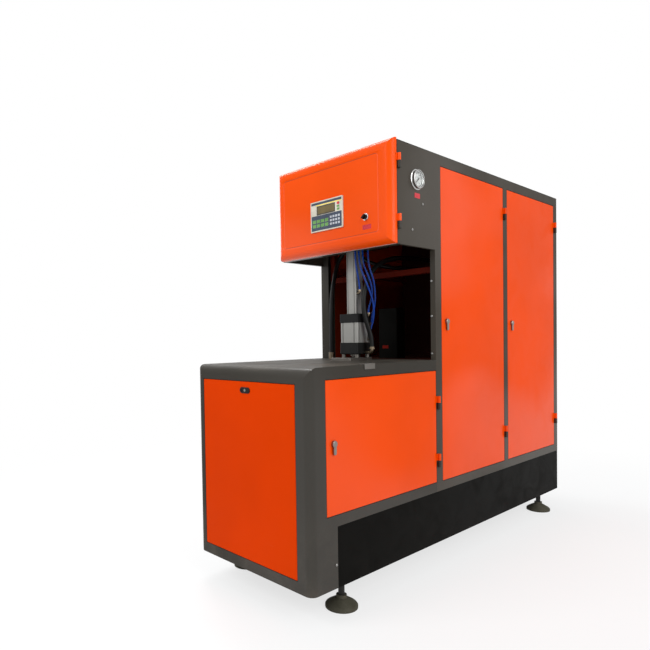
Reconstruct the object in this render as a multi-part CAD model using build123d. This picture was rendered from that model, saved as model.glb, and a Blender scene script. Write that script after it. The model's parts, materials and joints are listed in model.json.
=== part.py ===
from build123d import *
import math
import os

# Semi-automatic blow moulding machine for large bottles, in millimetres.
# X points to the machine's right side, Y to its rear, Z up from the floor.
# The origin is on the floor under the middle of the body.

# Driving dimensions
WIDTH = 650
LENGTH = 2064
FRAME_BOTTOM = 110
SHEET = 3
TABLE_LENGTH = 785
TABLE_TOP = 898
BAY_HEIGHT = 469
HEAD_HEIGHT = 409
HEAD_REACH = 267
HEAD_FLANGE = 14
CARRIER_RISE = 33
SKIRT_TOP = 330
FRONT_LEG = 136
DOOR_GAP = 2
DOOR_DEPTH = 18
DOOR_SHEET = 2

# Strips of the tall side frames, and how deep each side frame is
COLUMN_STRIP = 47
MIDDLE_STRIP = 41
REAR_STRIP = 41
DOOR_1_OPENING = 577
BOTTOM_BAND = 39
TOP_BAND = 44
RIGHT_DEPTH = 23.5
LEFT_DEPTH = 47

# Lower front cabinet
TABLE_EDGE_R = 40
CORNER_R = 30
FRONT_PANEL_LEFT = 45
FRONT_PANEL_RIGHT = 68.5
FRONT_PANEL_BELOW = 41
FRONT_PANEL_ABOVE = 58
SIDE_DOOR_FRONT = 80
SIDE_DOOR_BELOW = 40.5
SIDE_DOOR_ABOVE = 45

# Control door on the head
PAN_ABOVE_ROOF = 6
PAN_DEPTH = 34
PAN_ROLL = 32
PAN_WALL = 5
RECESS_DEPTH = 3
RECESS_LEFT = 34
RECESS_RIGHT = 45
RECESS_BELOW = 47
RECESS_ABOVE = 35
BEVEL_LEFT = 11
BEVEL_RIGHT = 23
BEVEL_HIGH = 8
SEAL_THICK = 3
SEAL_INSET = 8
SEAL_WIDTH = 12

# Hinges and locks
HINGE_R = 7
HINGE_PIN_R = 3
HINGE_HALF = 28.5
CAM_THICK = 3
CAM_LENGTH = 54
FIT = 0.05

# Blow unit
BLOW_SETBACK = 135
STRETCH_SIZE = 53
STRETCH_BORE_R = 20
STRETCH_CAP = 26
STRETCH_ROOF_GAP = 44
SEAL_SIZE = 96
SEAL_HEIGHT = 90
SEAL_BORE_R = 40
BASE_SIZE = 100
BASE_HEIGHT = 52
ADAPTER_HEIGHT = 39
NECK_PLATE = 12
SPACER_HEIGHT = 15
ROD_R = 7
NOZZLE_R = 22
NOZZLE_TIP = 10

# Clamp unit under the table
MOULD_HALF = 110
MOULD_ABOVE_BED = 138
MOULD_BELOW_TABLE = 18
MOULD_TIE_GAP = 50
CAVITY_NECK_R = 19
PLATEN = 36
CLAMP_STROKE = 120
CLAMP_SIDE_GAP = 28
TIE_BAR_R = 20
TIE_BAR_INSET = 50
TIE_BAR_ABOVE_BED = 78
TIE_BAR_BELOW_TABLE = 98
CYLINDER_R = 90
CYLINDER_BORE_R = 75
CYLINDER_LENGTH = 190
CLAMP_ROD_R = 25

# Orange inner frame
BEAM_BELOW_HEAD = 91.5
BEAM_ABOVE_HEAD = 83

# Base frame and levelling feet
RAIL_HEIGHT = 80
RAIL_WIDTH = 35
RAIL_WALL = 5
FOOT_PLATE = 12
BED_HEIGHT = 60
FOOT_INSET = 55
FOOT_FRONT = 215
FOOT_REAR = 130
FOOT_PAD_R = 61
STUD_R = 12

# Places worked out from the dimensions above
HEAD_BOTTOM = TABLE_TOP + BAY_HEIGHT
HEIGHT = HEAD_BOTTOM + HEAD_HEIGHT
RIGHT = WIDTH / 2
FRONT = -LENGTH / 2
REAR = LENGTH / 2
COLUMN = FRONT + TABLE_LENGTH
HEAD_FRONT = COLUMN - HEAD_REACH
ROOF = HEIGHT - SHEET
FRAME_REAR = REAR - 2
DOOR_1 = COLUMN + COLUMN_STRIP
DOOR_1_END = DOOR_1 + DOOR_1_OPENING
DOOR_2 = DOOR_1_END + MIDDLE_STRIP
DOOR_2_END = FRAME_REAR - REAR_STRIP
DOOR_LOW = SKIRT_TOP + BOTTOM_BAND
DOOR_HIGH = ROOF - TOP_BAND
INNER_RIGHT = RIGHT - RIGHT_DEPTH
INNER_LEFT = -RIGHT + LEFT_DEPTH
AXIS_Y = COLUMN - BLOW_SETBACK
PAN_REAR = HEAD_FRONT - SEAL_THICK
PAN_FRONT = PAN_REAR - PAN_DEPTH
NECK_TOP = TABLE_TOP + NECK_PLATE
BASE_Z = NECK_TOP + SPACER_HEIGHT
SEAL_Z = BASE_Z + BASE_HEIGHT
ADAPTER_Z = SEAL_Z + SEAL_HEIGHT
STRETCH_Z = ADAPTER_Z + ADAPTER_HEIGHT
STRETCH_TOP = ROOF - STRETCH_ROOF_GAP - STRETCH_CAP
STRETCH_LENGTH = STRETCH_TOP - STRETCH_Z
CARRIER_Z = HEAD_BOTTOM + CARRIER_RISE
RAIL_Z = FRAME_BOTTOM + FOOT_PLATE
RAIL_TOP = RAIL_Z + RAIL_HEIGHT
BED_TOP = RAIL_TOP + BED_HEIGHT
FOOT_Y = [FRONT + FOOT_FRONT, REAR - FOOT_REAR]
FOOT_X = RIGHT - FOOT_INSET
BEAM_LOW = HEAD_BOTTOM - BEAM_BELOW_HEAD
BEAM_HIGH = HEAD_BOTTOM + BEAM_ABOVE_HEAD
RECESS_X = (-RIGHT + RECESS_LEFT, RIGHT - RECESS_RIGHT)
RECESS_Z = (HEAD_BOTTOM + RECESS_BELOW, HEIGHT - RECESS_ABOVE)
RECESS_MIDDLE = sum(RECESS_Z) / 2
MOULD_TOP = TABLE_TOP - MOULD_BELOW_TABLE
MOULD_BOTTOM = BED_TOP + MOULD_ABOVE_BED
MOULD_HEIGHT = MOULD_TOP - MOULD_BOTTOM
TIE_BAR_LOW = BED_TOP + TIE_BAR_ABOVE_BED
TIE_BAR_HIGH = TABLE_TOP - TIE_BAR_BELOW_TABLE
CLAMP_WIDTH = 2 * (-INNER_LEFT - CLAMP_SIDE_GAP)
TIE_BAR_X = CLAMP_WIDTH / 2 - TIE_BAR_INSET
MOULD_WIDTH = 2 * (TIE_BAR_X - TIE_BAR_R - MOULD_TIE_GAP)
CAVITY_R = 0.3 * MOULD_WIDTH
ROD_HEIGHT = (TIE_BAR_LOW + TIE_BAR_HIGH) / 2


ABOVE = (Align.CENTER, Align.CENTER, Align.MIN)


def slab(x, y, z):
    """Rectangular block between two values on each axis."""
    size = (x[1] - x[0], y[1] - y[0], z[1] - z[0])
    middle = (sum(x) / 2, sum(y) / 2, sum(z) / 2)
    return Pos(*middle) * Box(*size)


def rod(start, direction, radius, length):
    """Round bar from a start point along a direction."""
    return extrude(Plane(start, z_dir=direction) * Circle(radius), length)


def hexagon(start, direction, across, height):
    """Hexagonal nut blank, across its flats."""
    outline = RegularPolygon(across / 2, 6, major_radius=False)
    return extrude(Plane(start, z_dir=direction) * outline, height)


def mitred_shell(width, length, height, side_r, top_r, inset):
    """Body with rounded front corners seen from above and a rounded front top edge, shrunk by inset."""
    plan = Rectangle(width - 2 * inset, length - inset)
    front = plan.edges().sort_by(Axis.Y)[0]
    plan = fillet(front.vertices(), side_r - inset)
    upright = Pos(0, inset / 2, 0) * extrude(plan, height - inset)
    side = Plane.YZ * Pos(inset / 2, (height - inset) / 2) * Rectangle(length - inset, height - inset)
    corner = side.vertices().sort_by(Axis.Z)[-2:].sort_by(Axis.Y)[0]
    profile = fillet(corner, top_r - inset)
    return upright & extrude(profile, width, both=True)


def opening_frame(x, z, wall, depth):
    """Folded flange ring behind an opening in the front wall, as outer and inner prisms."""
    outer = slab((x[0] - SHEET, x[1] + SHEET), (wall, wall + depth), (z[0] - SHEET, z[1] + SHEET))
    return outer - slab(x, (wall, wall + depth), z)


def base_frame():
    """Welded ladder of channels with foot plates and short angle posts."""
    start = FRONT + CORNER_R
    end = REAR - SHEET
    outer = RIGHT - SHEET
    channel = slab((outer - RAIL_WIDTH, outer), (start, end), (RAIL_Z, RAIL_TOP))
    hollow = (outer - RAIL_WIDTH, outer - RAIL_WALL)
    channel -= slab(hollow, (start, end), (RAIL_Z + RAIL_WALL, RAIL_TOP - RAIL_WALL))
    frame = channel + mirror(channel, Plane.YZ)
    inner = outer - RAIL_WIDTH
    middles = [start + 22.5, FOOT_Y[0], COLUMN + 25, DOOR_2 - 20, FOOT_Y[1], end - 22.5]
    for y in middles:
        beam = slab((-inner, inner), (y - 22.5, y + 22.5), (RAIL_Z, RAIL_TOP))
        pocket = (RAIL_Z + RAIL_WALL, RAIL_TOP - RAIL_WALL)
        beam -= slab((-inner, inner), (y - 22.5 + RAIL_WALL, y + 22.5), pocket)
        frame += beam
    for y in FOOT_Y:
        for side in (-1, 1):
            x = (side * FOOT_X - 45, side * FOOT_X + 45)
            frame += slab(x, (y - 45, y + 45), (FRAME_BOTTOM, RAIL_Z))
            frame -= rod((side * FOOT_X, y, FRAME_BOTTOM - 1), (0, 0, 1), STUD_R + FIT, 60)
    for y in (COLUMN + 4, DOOR_1_END, end - 40):
        post = slab((outer - 40, outer), (y, y + 40), (RAIL_TOP, SKIRT_TOP))
        post -= slab((outer - 40, outer - 4), (y + 4, y + 40), (RAIL_TOP, SKIRT_TOP))
        frame += post + mirror(post, Plane.YZ)
    return frame + clamp_bed()


def clamp_bed():
    """Two channels welded across the ladder to carry the clamp."""
    y = (FOOT_Y[0] - 22, DOOR_1_END + 18)
    x = (TIE_BAR_X - 60, TIE_BAR_X + 10)
    beam = slab(x, y, (RAIL_TOP, BED_TOP))
    beam -= slab((x[0] + 6, x[1]), y, (RAIL_TOP + 6, BED_TOP - 6))
    return beam + mirror(beam, Plane.YZ)


def foot_pads():
    """Four round rubber-soled levelling pads with a raised hub."""
    line = Polyline((0, 0), (FOOT_PAD_R, 0), (FOOT_PAD_R, 9))
    dome = Spline((FOOT_PAD_R, 9), (44, 22), (20, 34), tangents=((-0.5, 1), (-1, 0.15)))
    hub = Polyline((20, 34), (20, 46), (STUD_R + FIT, 46), (STUD_R + FIT, 26), (0, 26), (0, 0))
    pad = revolve(Plane.XZ * make_face([line, dome, hub]), Axis.Z)
    return [Pos(side * FOOT_X, y, 0) * pad for y in FOOT_Y for side in (-1, 1)]


def foot_studs():
    """Four threaded studs from the pads up through the foot plates."""
    stud = rod((0, 0, 26), (0, 0, 1), STUD_R, FRAME_BOTTOM + 20)
    stud = chamfer(stud.edges().filter_by(GeomType.CIRCLE), 1.5)
    return [Pos(side * FOOT_X, y, 0) * stud for y in FOOT_Y for side in (-1, 1)]


def foot_nuts():
    """Lock nuts under the foot plates."""
    nut = hexagon((0, 0, FRAME_BOTTOM - 19), (0, 0, 1), 36, 19)
    nut -= rod((0, 0, FRAME_BOTTOM - 20), (0, 0, 1), STUD_R + FIT, 21)
    return [Pos(side * FOOT_X, y, 0) * nut for y in FOOT_Y for side in (-1, 1)]


def front_opening():
    """Limits of the front panel's opening in x and z."""
    x = (-RIGHT + FRONT_PANEL_LEFT, RIGHT - FRONT_PANEL_RIGHT)
    return x, (FRAME_BOTTOM + FRONT_PANEL_BELOW, TABLE_TOP - FRONT_PANEL_ABOVE)


def side_opening():
    """Limits of the lower side door's opening in y and z; it runs back to the column."""
    z = (SKIRT_TOP + SIDE_DOOR_BELOW, TABLE_TOP - SIDE_DOOR_ABOVE)
    return (FRONT + SIDE_DOOR_FRONT, COLUMN), z


PIVOT_R = 2.5
PIVOT = (FRONT + 6, FRAME_BOTTOM + FRONT_PANEL_BELOW + DOOR_GAP + 8)


def front_cabinet_shell():
    """Lower cabinet and table in one rounded sheet shell, open below and behind."""
    height = TABLE_TOP - FRAME_BOTTOM
    middle = Pos(0, (FRONT + COLUMN) / 2, FRAME_BOTTOM)
    outer = mitred_shell(WIDTH, TABLE_LENGTH, height, CORNER_R, TABLE_EDGE_R, 0)
    inner = mitred_shell(WIDTH, TABLE_LENGTH, height, CORNER_R, TABLE_EDGE_R, SHEET)
    shell = middle * (outer - inner)
    x, z = front_opening()
    shell -= slab(x, (FRONT - 1, FRONT + SHEET + 1), z)
    shell += opening_frame(x, z, FRONT + SHEET, DOOR_DEPTH + 3)
    shell -= rod((x[0] - 4, PIVOT[0], PIVOT[1]), (1, 0, 0), PIVOT_R + FIT, x[1] - x[0] + 8)
    y, z = side_opening()
    band = (RIGHT - RIGHT_DEPTH, RIGHT - SHEET)
    shell -= slab((RIGHT - SHEET - 1, RIGHT + 1), (y[0], y[1] + 1), z)
    ring = slab(band, (y[0] - SHEET, y[1]), (z[0] - SHEET, z[1] + SHEET))
    shell += ring - slab(band, (y[0], y[1] + 1), z)
    below = (FRAME_BOTTOM - 1, SKIRT_TOP)
    shell -= slab((RIGHT - SHEET - 1, RIGHT + 1), (FRONT + FRONT_LEG, COLUMN + 1), below)
    shell -= slab((-RIGHT - 1, -RIGHT + SHEET + 1), (FRONT + FRONT_LEG, COLUMN + 1), below)
    shell -= rod((0, AXIS_Y, TABLE_TOP - 20), (0, 0, 1), 45, 40)
    return shell


def side_frame(depth, doors):
    """Tall side frame pressed from sheet: flat outer strips with flanges folded inwards."""
    y = (COLUMN, FRAME_REAR)
    z = (SKIRT_TOP, ROOF)
    frame = slab((RIGHT - depth, RIGHT), y, z)
    groove = (RIGHT - depth, RIGHT - SHEET)
    pocket = slab(groove, (y[0] + SHEET, y[1] - SHEET), (z[0] + SHEET, z[1] - SHEET))
    for door in doors:
        frame -= slab((0, RIGHT + 1), door, (DOOR_LOW, DOOR_HIGH))
        rim = (door[0] - SHEET, door[1] + SHEET)
        pocket -= slab((0, RIGHT + 1), rim, (DOOR_LOW - SHEET, DOOR_HIGH + SHEET))
    return frame - pocket


def roof_panel():
    """Sheet over the head and the tall cabinet with its rear edge folded down."""
    roof = slab((-RIGHT, RIGHT), (HEAD_FRONT, REAR), (ROOF, HEIGHT))
    return roof + slab((-RIGHT, RIGHT), (FRAME_REAR, REAR), (ROOF - 25, ROOF))


def rear_cover():
    """Sheet cover of the rear, with rows of pressed louvre slots."""
    cover = slab((-RIGHT, RIGHT), (FRAME_REAR, REAR), (SKIRT_TOP, ROOF - 25))
    slot = extrude(Plane.XZ * SlotOverall(160, 8), REAR * 2, both=True)
    for row in range(6):
        cover -= Pos(0, 0, SKIRT_TOP + 120 + 24 * row) * slot
    return cover


def head_housing():
    """Box of the head behind the control door, open below inside a narrow flange."""
    y = (HEAD_FRONT, COLUMN)
    box = slab((-RIGHT, RIGHT), y, (HEAD_BOTTOM, ROOF))
    inside = (-RIGHT + SHEET, RIGHT - SHEET)
    box -= slab(inside, (y[0] + SHEET, y[1]), (HEAD_BOTTOM + SHEET, ROOF))
    mouth = (-RIGHT + HEAD_FLANGE, RIGHT - HEAD_FLANGE)
    box -= slab(mouth, (y[0] + HEAD_FLANGE, y[1] + 1), (HEAD_BOTTOM - 1, HEAD_BOTTOM + SHEET + 1))
    window = (HEAD_BOTTOM + 25, ROOF - 25)
    box -= slab((-RIGHT + 25, RIGHT - 25), (y[0] - 1, y[0] + SHEET + 1), window)
    return box + cylinder_carrier(inside)


def cylinder_carrier(inside):
    """Plate across the head that holds the stretch cylinder in a square collar."""
    plate = slab(inside, (AXIS_Y - 63, AXIS_Y + 60), (CARRIER_Z - SHEET, CARRIER_Z))
    collar = extrude(fillet(Rectangle(STRETCH_SIZE + 50, STRETCH_SIZE + 50).vertices(), 8), 16)
    plate += Pos(0, AXIS_Y, CARRIER_Z) * collar
    hole = STRETCH_SIZE / 2 + FIT
    return plate - slab((-hole, hole), (AXIS_Y - hole, AXIS_Y + hole), (HEAD_BOTTOM, CARRIER_Z + 30))


def kick_panel():
    """Black kick panel folded round both sides and the rear."""
    z = (FRAME_BOTTOM, SKIRT_TOP)
    panel = slab((-RIGHT, RIGHT), (FRONT + FRONT_LEG, REAR), z)
    inner = RIGHT - SHEET
    panel -= slab((-inner, inner), (FRONT, REAR - SHEET), z)
    corners = panel.edges().filter_by(Axis.Z).sort_by(Axis.Y)[-2:]
    return fillet(corners, 2.5)


def door_pan(width, height, depth, sheet):
    """Folded door pan, outside face on z = 0 and pan towards -z, with two stiffeners."""
    outline = fillet(Rectangle(width, height).vertices(), 3)
    pan = extrude(outline, -depth)
    pan = fillet(pan.faces().sort_by(Axis.Z)[-1].edges(), 1.5)
    inner = fillet(Rectangle(width - 2 * sheet, height - 2 * sheet).vertices(), 1)
    pan -= Pos(0, 0, -sheet) * extrude(inner, -depth)
    hat = Polyline((-38, 0), (-22, -9), (22, -9), (38, 0), (-38, 0))
    bar = extrude(Plane.YZ * make_face(hat), (width - 2 * sheet) / 2, both=True)
    for side in (-1, 1):
        pan += Pos(0, side * height / 4, -sheet) * bar
    return pan


def side_pan(y, z, side, gap):
    """Folded pan standing in a side opening with a gap all round."""
    width = y[1] - y[0] - 2 * gap
    height = z[1] - z[0] - 2 * gap
    face = Plane((side * RIGHT, sum(y) / 2, sum(z) / 2), x_dir=(0, side, 0), z_dir=(side, 0, 0))
    return face * door_pan(width, height, DOOR_DEPTH, DOOR_SHEET)


def side_door(name, y, z):
    """Hinged side door: pan, welded upper hinge halves and the hole for the lock."""
    door = side_pan(y, z, 1, DOOR_GAP)
    for place in hinge_places()[name]:
        door += hinge_half(*place, True)
    y, z = lock_places()[name]
    return door - rod((RIGHT - 6, y, z), (1, 0, 0), 5 + FIT, 12)


def front_panel():
    """Front panel of the lower cabinet, which tilts on two pivot pegs near its lower edge."""
    x, z = front_opening()
    face = Plane((sum(x) / 2, FRONT, sum(z) / 2), x_dir=(1, 0, 0), z_dir=(0, -1, 0))
    width = x[1] - x[0] - 2 * DOOR_GAP
    height = z[1] - z[0] - 2 * DOOR_GAP
    panel = face * door_pan(width, height, DOOR_DEPTH, DOOR_SHEET)
    for start in (x[0] - 2.5, x[1] - 3.5):
        panel += rod((start, *PIVOT), (1, 0, 0), PIVOT_R, 6)
    x, z = FRONT_LOCK
    return panel - rod((x, FRONT - 1, z), (0, 1, 0), 5 + FIT, 6)


def recess_rim(x, z, y):
    """Rounded rectangle across the control door at a depth y."""
    outline = Pos(sum(x) / 2, -sum(z) / 2) * Rectangle(x[1] - x[0], z[1] - z[0])
    return Plane((0, y, 0), x_dir=(1, 0, 0), z_dir=(0, 1, 0)) * fillet(outline.vertices(), 14)


def control_door():
    """Deep control door: every front edge is a wide roll that meets the next in a mitre."""
    z = (HEAD_BOTTOM + 2, HEIGHT + PAN_ABOVE_ROOF)

    def rolled(inset):
        depth = PAN_DEPTH - inset
        wide = Rectangle(WIDTH - 2 * inset, depth)
        wide = fillet(wide.vertices().sort_by(Axis.Y)[:2], PAN_ROLL - inset)
        tall = Rectangle(depth, z[1] - z[0] - 2 * inset)
        tall = fillet(tall.vertices().sort_by(Axis.X)[:2], PAN_ROLL - inset)
        across = Pos(0, PAN_REAR - depth / 2, z[0]) * extrude(wide, z[1] - z[0])
        along = extrude(Plane.YZ * tall, WIDTH, both=True)
        return across & Pos(0, PAN_REAR - depth / 2, sum(z) / 2) * along

    pan = rolled(0) - rolled(PAN_WALL)
    inner_x = (RECESS_X[0] + BEVEL_LEFT, RECESS_X[1] - BEVEL_RIGHT)
    inner_z = (RECESS_Z[0] + BEVEL_HIGH, RECESS_Z[1] - BEVEL_HIGH)
    rims = [recess_rim(RECESS_X, RECESS_Z, PAN_FRONT - 0.5), recess_rim(RECESS_X, RECESS_Z, PAN_FRONT)]
    rims.append(recess_rim(inner_x, inner_z, PAN_FRONT + RECESS_DEPTH))
    pan -= loft(rims, ruled=True)
    for place in hinge_places()["control_door"]:
        pan += hinge_half(*place, True)
    return pan


def control_door_seal():
    """Pale foam strip between the control door and the head."""
    y = (PAN_REAR, HEAD_FRONT)
    x = RIGHT - SEAL_INSET
    z = (HEAD_BOTTOM + 1, ROOF - SEAL_INSET)
    hole = slab((-x + SEAL_WIDTH, x - SEAL_WIDTH), y, (z[0] + SEAL_WIDTH, z[1] - SEAL_WIDTH))
    return slab((-x, x), y, z) - hole


# Hinge places: the middle of each hinge, and the way its leaves point
def hinge_places():
    side_y, side_z = side_opening()
    gap = HINGE_R + 2
    places = {"control_door": [(HEAD_FRONT + 4, z) for z in (HEIGHT - 84, HEAD_BOTTOM + 88)]}
    places["lower_side_door"] = [(side_y[1] + gap, z) for z in (TABLE_TOP - 184, SKIRT_TOP + 136)]
    places["tall_door_front"] = [(DOOR_1_END - DOOR_GAP + gap, z) for z in (ROOF - 172, SKIRT_TOP + 187)]
    places["tall_door_rear"] = [(DOOR_2_END - DOOR_GAP + gap, z) for z in (ROOF - 168, SKIRT_TOP + 190)]
    return places


def hinge_half(y, z, upper):
    """Weld-on barrel and leaf: the upper half reaches forwards to the door, the lower half backwards."""
    x = RIGHT + HINGE_R + 0.5
    pin = HINGE_HALF * 0.8
    low = z + 0.3 if upper else z - HINGE_HALF
    barrel = rod((x, y, low), (0, 0, 1), HINGE_R, HINGE_HALF - 0.3)
    reach = (y - HINGE_R - 6, y) if upper else (y, y + HINGE_R + 5)
    barrel += slab((RIGHT, RIGHT + 3), reach, (low, low + HINGE_HALF - 0.3))
    if upper:
        return barrel - rod((x, y, low), (0, 0, 1), HINGE_PIN_R + FIT, pin)
    return barrel + rod((x, y, z - 1), (0, 0, 1), HINGE_PIN_R, pin)


def hinge_sockets():
    """Lower hinge halves with their pins, welded to the frame."""
    return [hinge_half(y, z, False) for group in hinge_places().values() for y, z in group]


def lock_places():
    """Middle of each side door lock."""
    side_y, side_z = side_opening()
    low = (side_y[0] + DOOR_GAP + 37.5, TABLE_TOP - 272)
    places = {"lower_side_door": low, "tall_door_front": (DOOR_1 + DOOR_GAP + 38, TABLE_TOP + 165)}
    places["tall_door_rear"] = (DOOR_2 + DOOR_GAP + 38.5, TABLE_TOP + 163)
    return places


def lock_handle(name):
    """Chrome drop handle on a round boss, with its spindle and the cam behind the door."""
    y, z = lock_places()[name]
    boss = rod((RIGHT, y, z), (1, 0, 0), 12, 11)
    boss = chamfer(boss.faces().sort_by(Axis.X)[-1].edges(), 2.5)
    lever = Plane.YZ * Pos(0, -14) * SlotOverall(50, 14, rotation=90)
    handle = boss + Pos(RIGHT + 4, y, z) * extrude(lever, 5)
    inner = INNER_RIGHT - CAM_THICK - 1.5
    handle += rod((inner, y, z), (1, 0, 0), 5, RIGHT - inner)
    cam = Plane.YZ * Pos(0, -19) * SlotOverall(CAM_LENGTH, 16, rotation=90)
    return handle + Pos(inner, y, z) * extrude(cam, CAM_THICK)


FRONT_LOCK = (-11, TABLE_TOP - 93)


def front_lock_case():
    """Oval dark dish of the front panel lock."""
    x, z = FRONT_LOCK
    face = Plane((x, FRONT, z), x_dir=(1, 0, 0), z_dir=(0, -1, 0))
    case = face * extrude(SlotOverall(57, 23), 4)
    case = chamfer(case.faces().sort_by(Axis.Y)[0].edges(), 1.5)
    case -= face * Pos(0, 0, 2) * extrude(SlotOverall(44, 14), 5)
    return case - rod((x, FRONT + 1, z), (0, -1, 0), 5 + FIT, 8)


def front_lock_plug():
    """Key plug of the front panel lock, with its cam behind the panel."""
    x, z = FRONT_LOCK
    inner = FRONT + SHEET + DOOR_DEPTH + 3 + 1.5
    plug = rod((x, inner, z), (0, -1, 0), 5, inner - FRONT + 3)
    plug -= slab((x - 3.5, x + 3.5), (FRONT - 4, FRONT - 1.5), (z - 0.7, z + 0.7))
    cam = Plane((x, inner, z), x_dir=(1, 0, 0), z_dir=(0, 1, 0))
    return plug + cam * Pos(17, 0) * extrude(SlotOverall(50, 14), CAM_THICK)


def profile_tube(size, bore, height, groove):
    """Extruded cylinder tube: square section with two grooves on each face and a round bore."""
    outline = fillet(Rectangle(size, size).vertices(), size * 0.09)
    cut = Rectangle(groove, groove * 1.2)
    offset = size * 0.33
    for turn in range(4):
        for side in (-1, 1):
            outline -= Rot(0, 0, 90 * turn) * Pos(side * offset, size / 2) * cut
    return extrude(outline - Circle(bore), height)


def stretch_cylinder():
    """Grooved stretch cylinder tube, closed by a rounded end at the top."""
    tube = profile_tube(STRETCH_SIZE, STRETCH_BORE_R + FIT, STRETCH_LENGTH, 4)
    cap = extrude(fillet(Rectangle(STRETCH_SIZE, STRETCH_SIZE).vertices(), 5), STRETCH_CAP)
    cap = fillet(cap.faces().sort_by(Axis.Z)[-1].edges(), 3)
    return Pos(0, AXIS_Y, STRETCH_Z) * (tube + Pos(0, 0, STRETCH_LENGTH) * cap)


def seal_cylinder():
    tube = profile_tube(SEAL_SIZE, SEAL_BORE_R + FIT, SEAL_HEIGHT, 5)
    return Pos(0, AXIS_Y, SEAL_Z) * tube


def adapter_plate():
    """Black plate between the two cylinders; the stretch rod runs through it."""
    plate = extrude(fillet(Rectangle(BASE_SIZE, BASE_SIZE).vertices(), 6), ADAPTER_HEIGHT)
    return Pos(0, AXIS_Y, ADAPTER_Z) * (plate - Cylinder(ROD_R + FIT, 200))


def blow_base():
    """Black base block under the seal cylinder, bored for the nozzle."""
    block = extrude(fillet(Rectangle(BASE_SIZE, BASE_SIZE).vertices(), 6), BASE_HEIGHT)
    block = chamfer(block.faces().sort_by(Axis.Z)[0].edges(), 3)
    return Pos(0, AXIS_Y, BASE_Z) * (block - Cylinder(NOZZLE_R + FIT, 400))


def neck_plate():
    """Bright plate that holds the preform's neck, with the turned posts of the base block."""
    plate = slab((-55, 55), (AXIS_Y - 108, AXIS_Y + 55), (TABLE_TOP, NECK_TOP))
    plate = fillet(plate.edges().filter_by(Axis.Z), 8)
    plate = chamfer(plate.faces().sort_by(Axis.Z)[-1].edges(), 1)
    plate -= rod((0, AXIS_Y, TABLE_TOP - 1), (0, 0, 1), 24, NECK_PLATE + 2)
    post = Cylinder(9, SPACER_HEIGHT, align=ABOVE)
    for spot in GridLocations(BASE_SIZE - 26, BASE_SIZE - 26, 2, 2):
        plate += Pos(0, AXIS_Y, NECK_TOP) * spot * post
    return plate


def seal_nozzle():
    """Sealing piston with the hollow nozzle below it."""
    top = ADAPTER_Z - 6
    tip = BASE_Z - NOZZLE_TIP
    piston = rod((0, AXIS_Y, top - 25), (0, 0, 1), SEAL_BORE_R, 25)
    nozzle = piston + rod((0, AXIS_Y, tip), (0, 0, 1), NOZZLE_R, top - tip)
    nozzle -= rod((0, AXIS_Y, tip - 1), (0, 0, 1), ROD_R + 4, top - tip + 2)
    return chamfer(nozzle.faces().sort_by(Axis.Z)[0].edges(), 2)


def stretch_rod():
    """Stretch rod with its piston at the top."""
    top = STRETCH_TOP - 6
    tip = BASE_Z - NOZZLE_TIP + 6
    bar = rod((0, AXIS_Y, tip), (0, 0, 1), ROD_R, top - tip)
    bar = fillet(bar.faces().sort_by(Axis.Z)[0].edges(), ROD_R - 1)
    return bar + rod((0, AXIS_Y, top - 22), (0, 0, 1), STRETCH_BORE_R, 22)


def bottle_cavity():
    """Bottle-shaped space in the closed mould, with a pushed-up foot and a long shoulder."""
    low = MOULD_BOTTOM + 40
    wide = CAVITY_R
    shoulder = low + 0.542 * MOULD_HEIGHT
    bend = low + 0.698 * MOULD_HEIGHT
    neck = low + 0.812 * MOULD_HEIGHT
    line = Polyline((0, low + 8), (0.385 * wide, low + 8), (0.564 * wide, low), (wide - 8, low))
    foot = ThreePointArc((wide - 8, low), (wide - 2, low + 3), (wide, low + 10))
    wall = Polyline((wide, low + 10), (wide, shoulder))
    ends = (wide, shoulder), (0.77 * wide, bend), (CAVITY_NECK_R, neck)
    curve = Spline(*ends, tangents=((0, 1), (-1, 1)))
    top = (CAVITY_NECK_R, MOULD_TOP + 1)
    throat = Polyline((CAVITY_NECK_R, neck), top, (0, MOULD_TOP + 1), (0, low + 8))
    return revolve(Plane.XZ * make_face([line, foot, wall, curve, throat]), Axis.Z)


def mould_half(side):
    """One mould half; side is -1 for the front half and 1 for the rear one."""
    inner = AXIS_Y + side * 0.1
    y = sorted((inner, AXIS_Y + side * MOULD_HALF))
    half = slab((-MOULD_WIDTH / 2, MOULD_WIDTH / 2), y, (MOULD_BOTTOM, MOULD_TOP))
    half = chamfer(half.edges().filter_by(Axis.Z), 4)
    return half - Pos(0, AXIS_Y, 0) * bottle_cavity()


def clamp_plate(y, thick, radius, low):
    """Rounded clamp plate across the tie bars."""
    z = (low, TIE_BAR_HIGH + 70)
    middle = (low + z[1]) / 2
    outline = fillet(Rectangle(CLAMP_WIDTH, z[1] - low).vertices(), 25)
    plate = Pos(0, y + thick, middle) * extrude(Plane.XZ * outline, thick)
    for x in (-TIE_BAR_X, TIE_BAR_X):
        for height in (TIE_BAR_LOW, TIE_BAR_HIGH):
            plate -= rod((x, y - 1, height), (0, 1, 0), radius, thick + 2)
    return plate


def end_plate_y(side):
    """Inner face of a fixed end plate."""
    return AXIS_Y + side * (MOULD_HALF + PLATEN + CLAMP_STROKE + 17)


def clamp_end(side):
    """Fixed end plate on the clamp bed, with the clamp cylinder on its outside."""
    face = end_plate_y(side)
    y = face if side > 0 else face - PLATEN
    plate = clamp_plate(y, PLATEN, TIE_BAR_R + 0.02, BED_TOP)
    back = face + side * PLATEN
    way = (0, side, 0)
    body = rod((0, back, ROD_HEIGHT), way, CYLINDER_R, CYLINDER_LENGTH)
    body = fillet(body.faces().sort_by(Axis.Y)[-1 if side > 0 else 0].edges(), 8)
    body -= rod((0, back, ROD_HEIGHT), way, CYLINDER_BORE_R + FIT, CYLINDER_LENGTH - 15)
    return plate + body - rod((0, face, ROD_HEIGHT), way, CLAMP_ROD_R + FIT, PLATEN)


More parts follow.
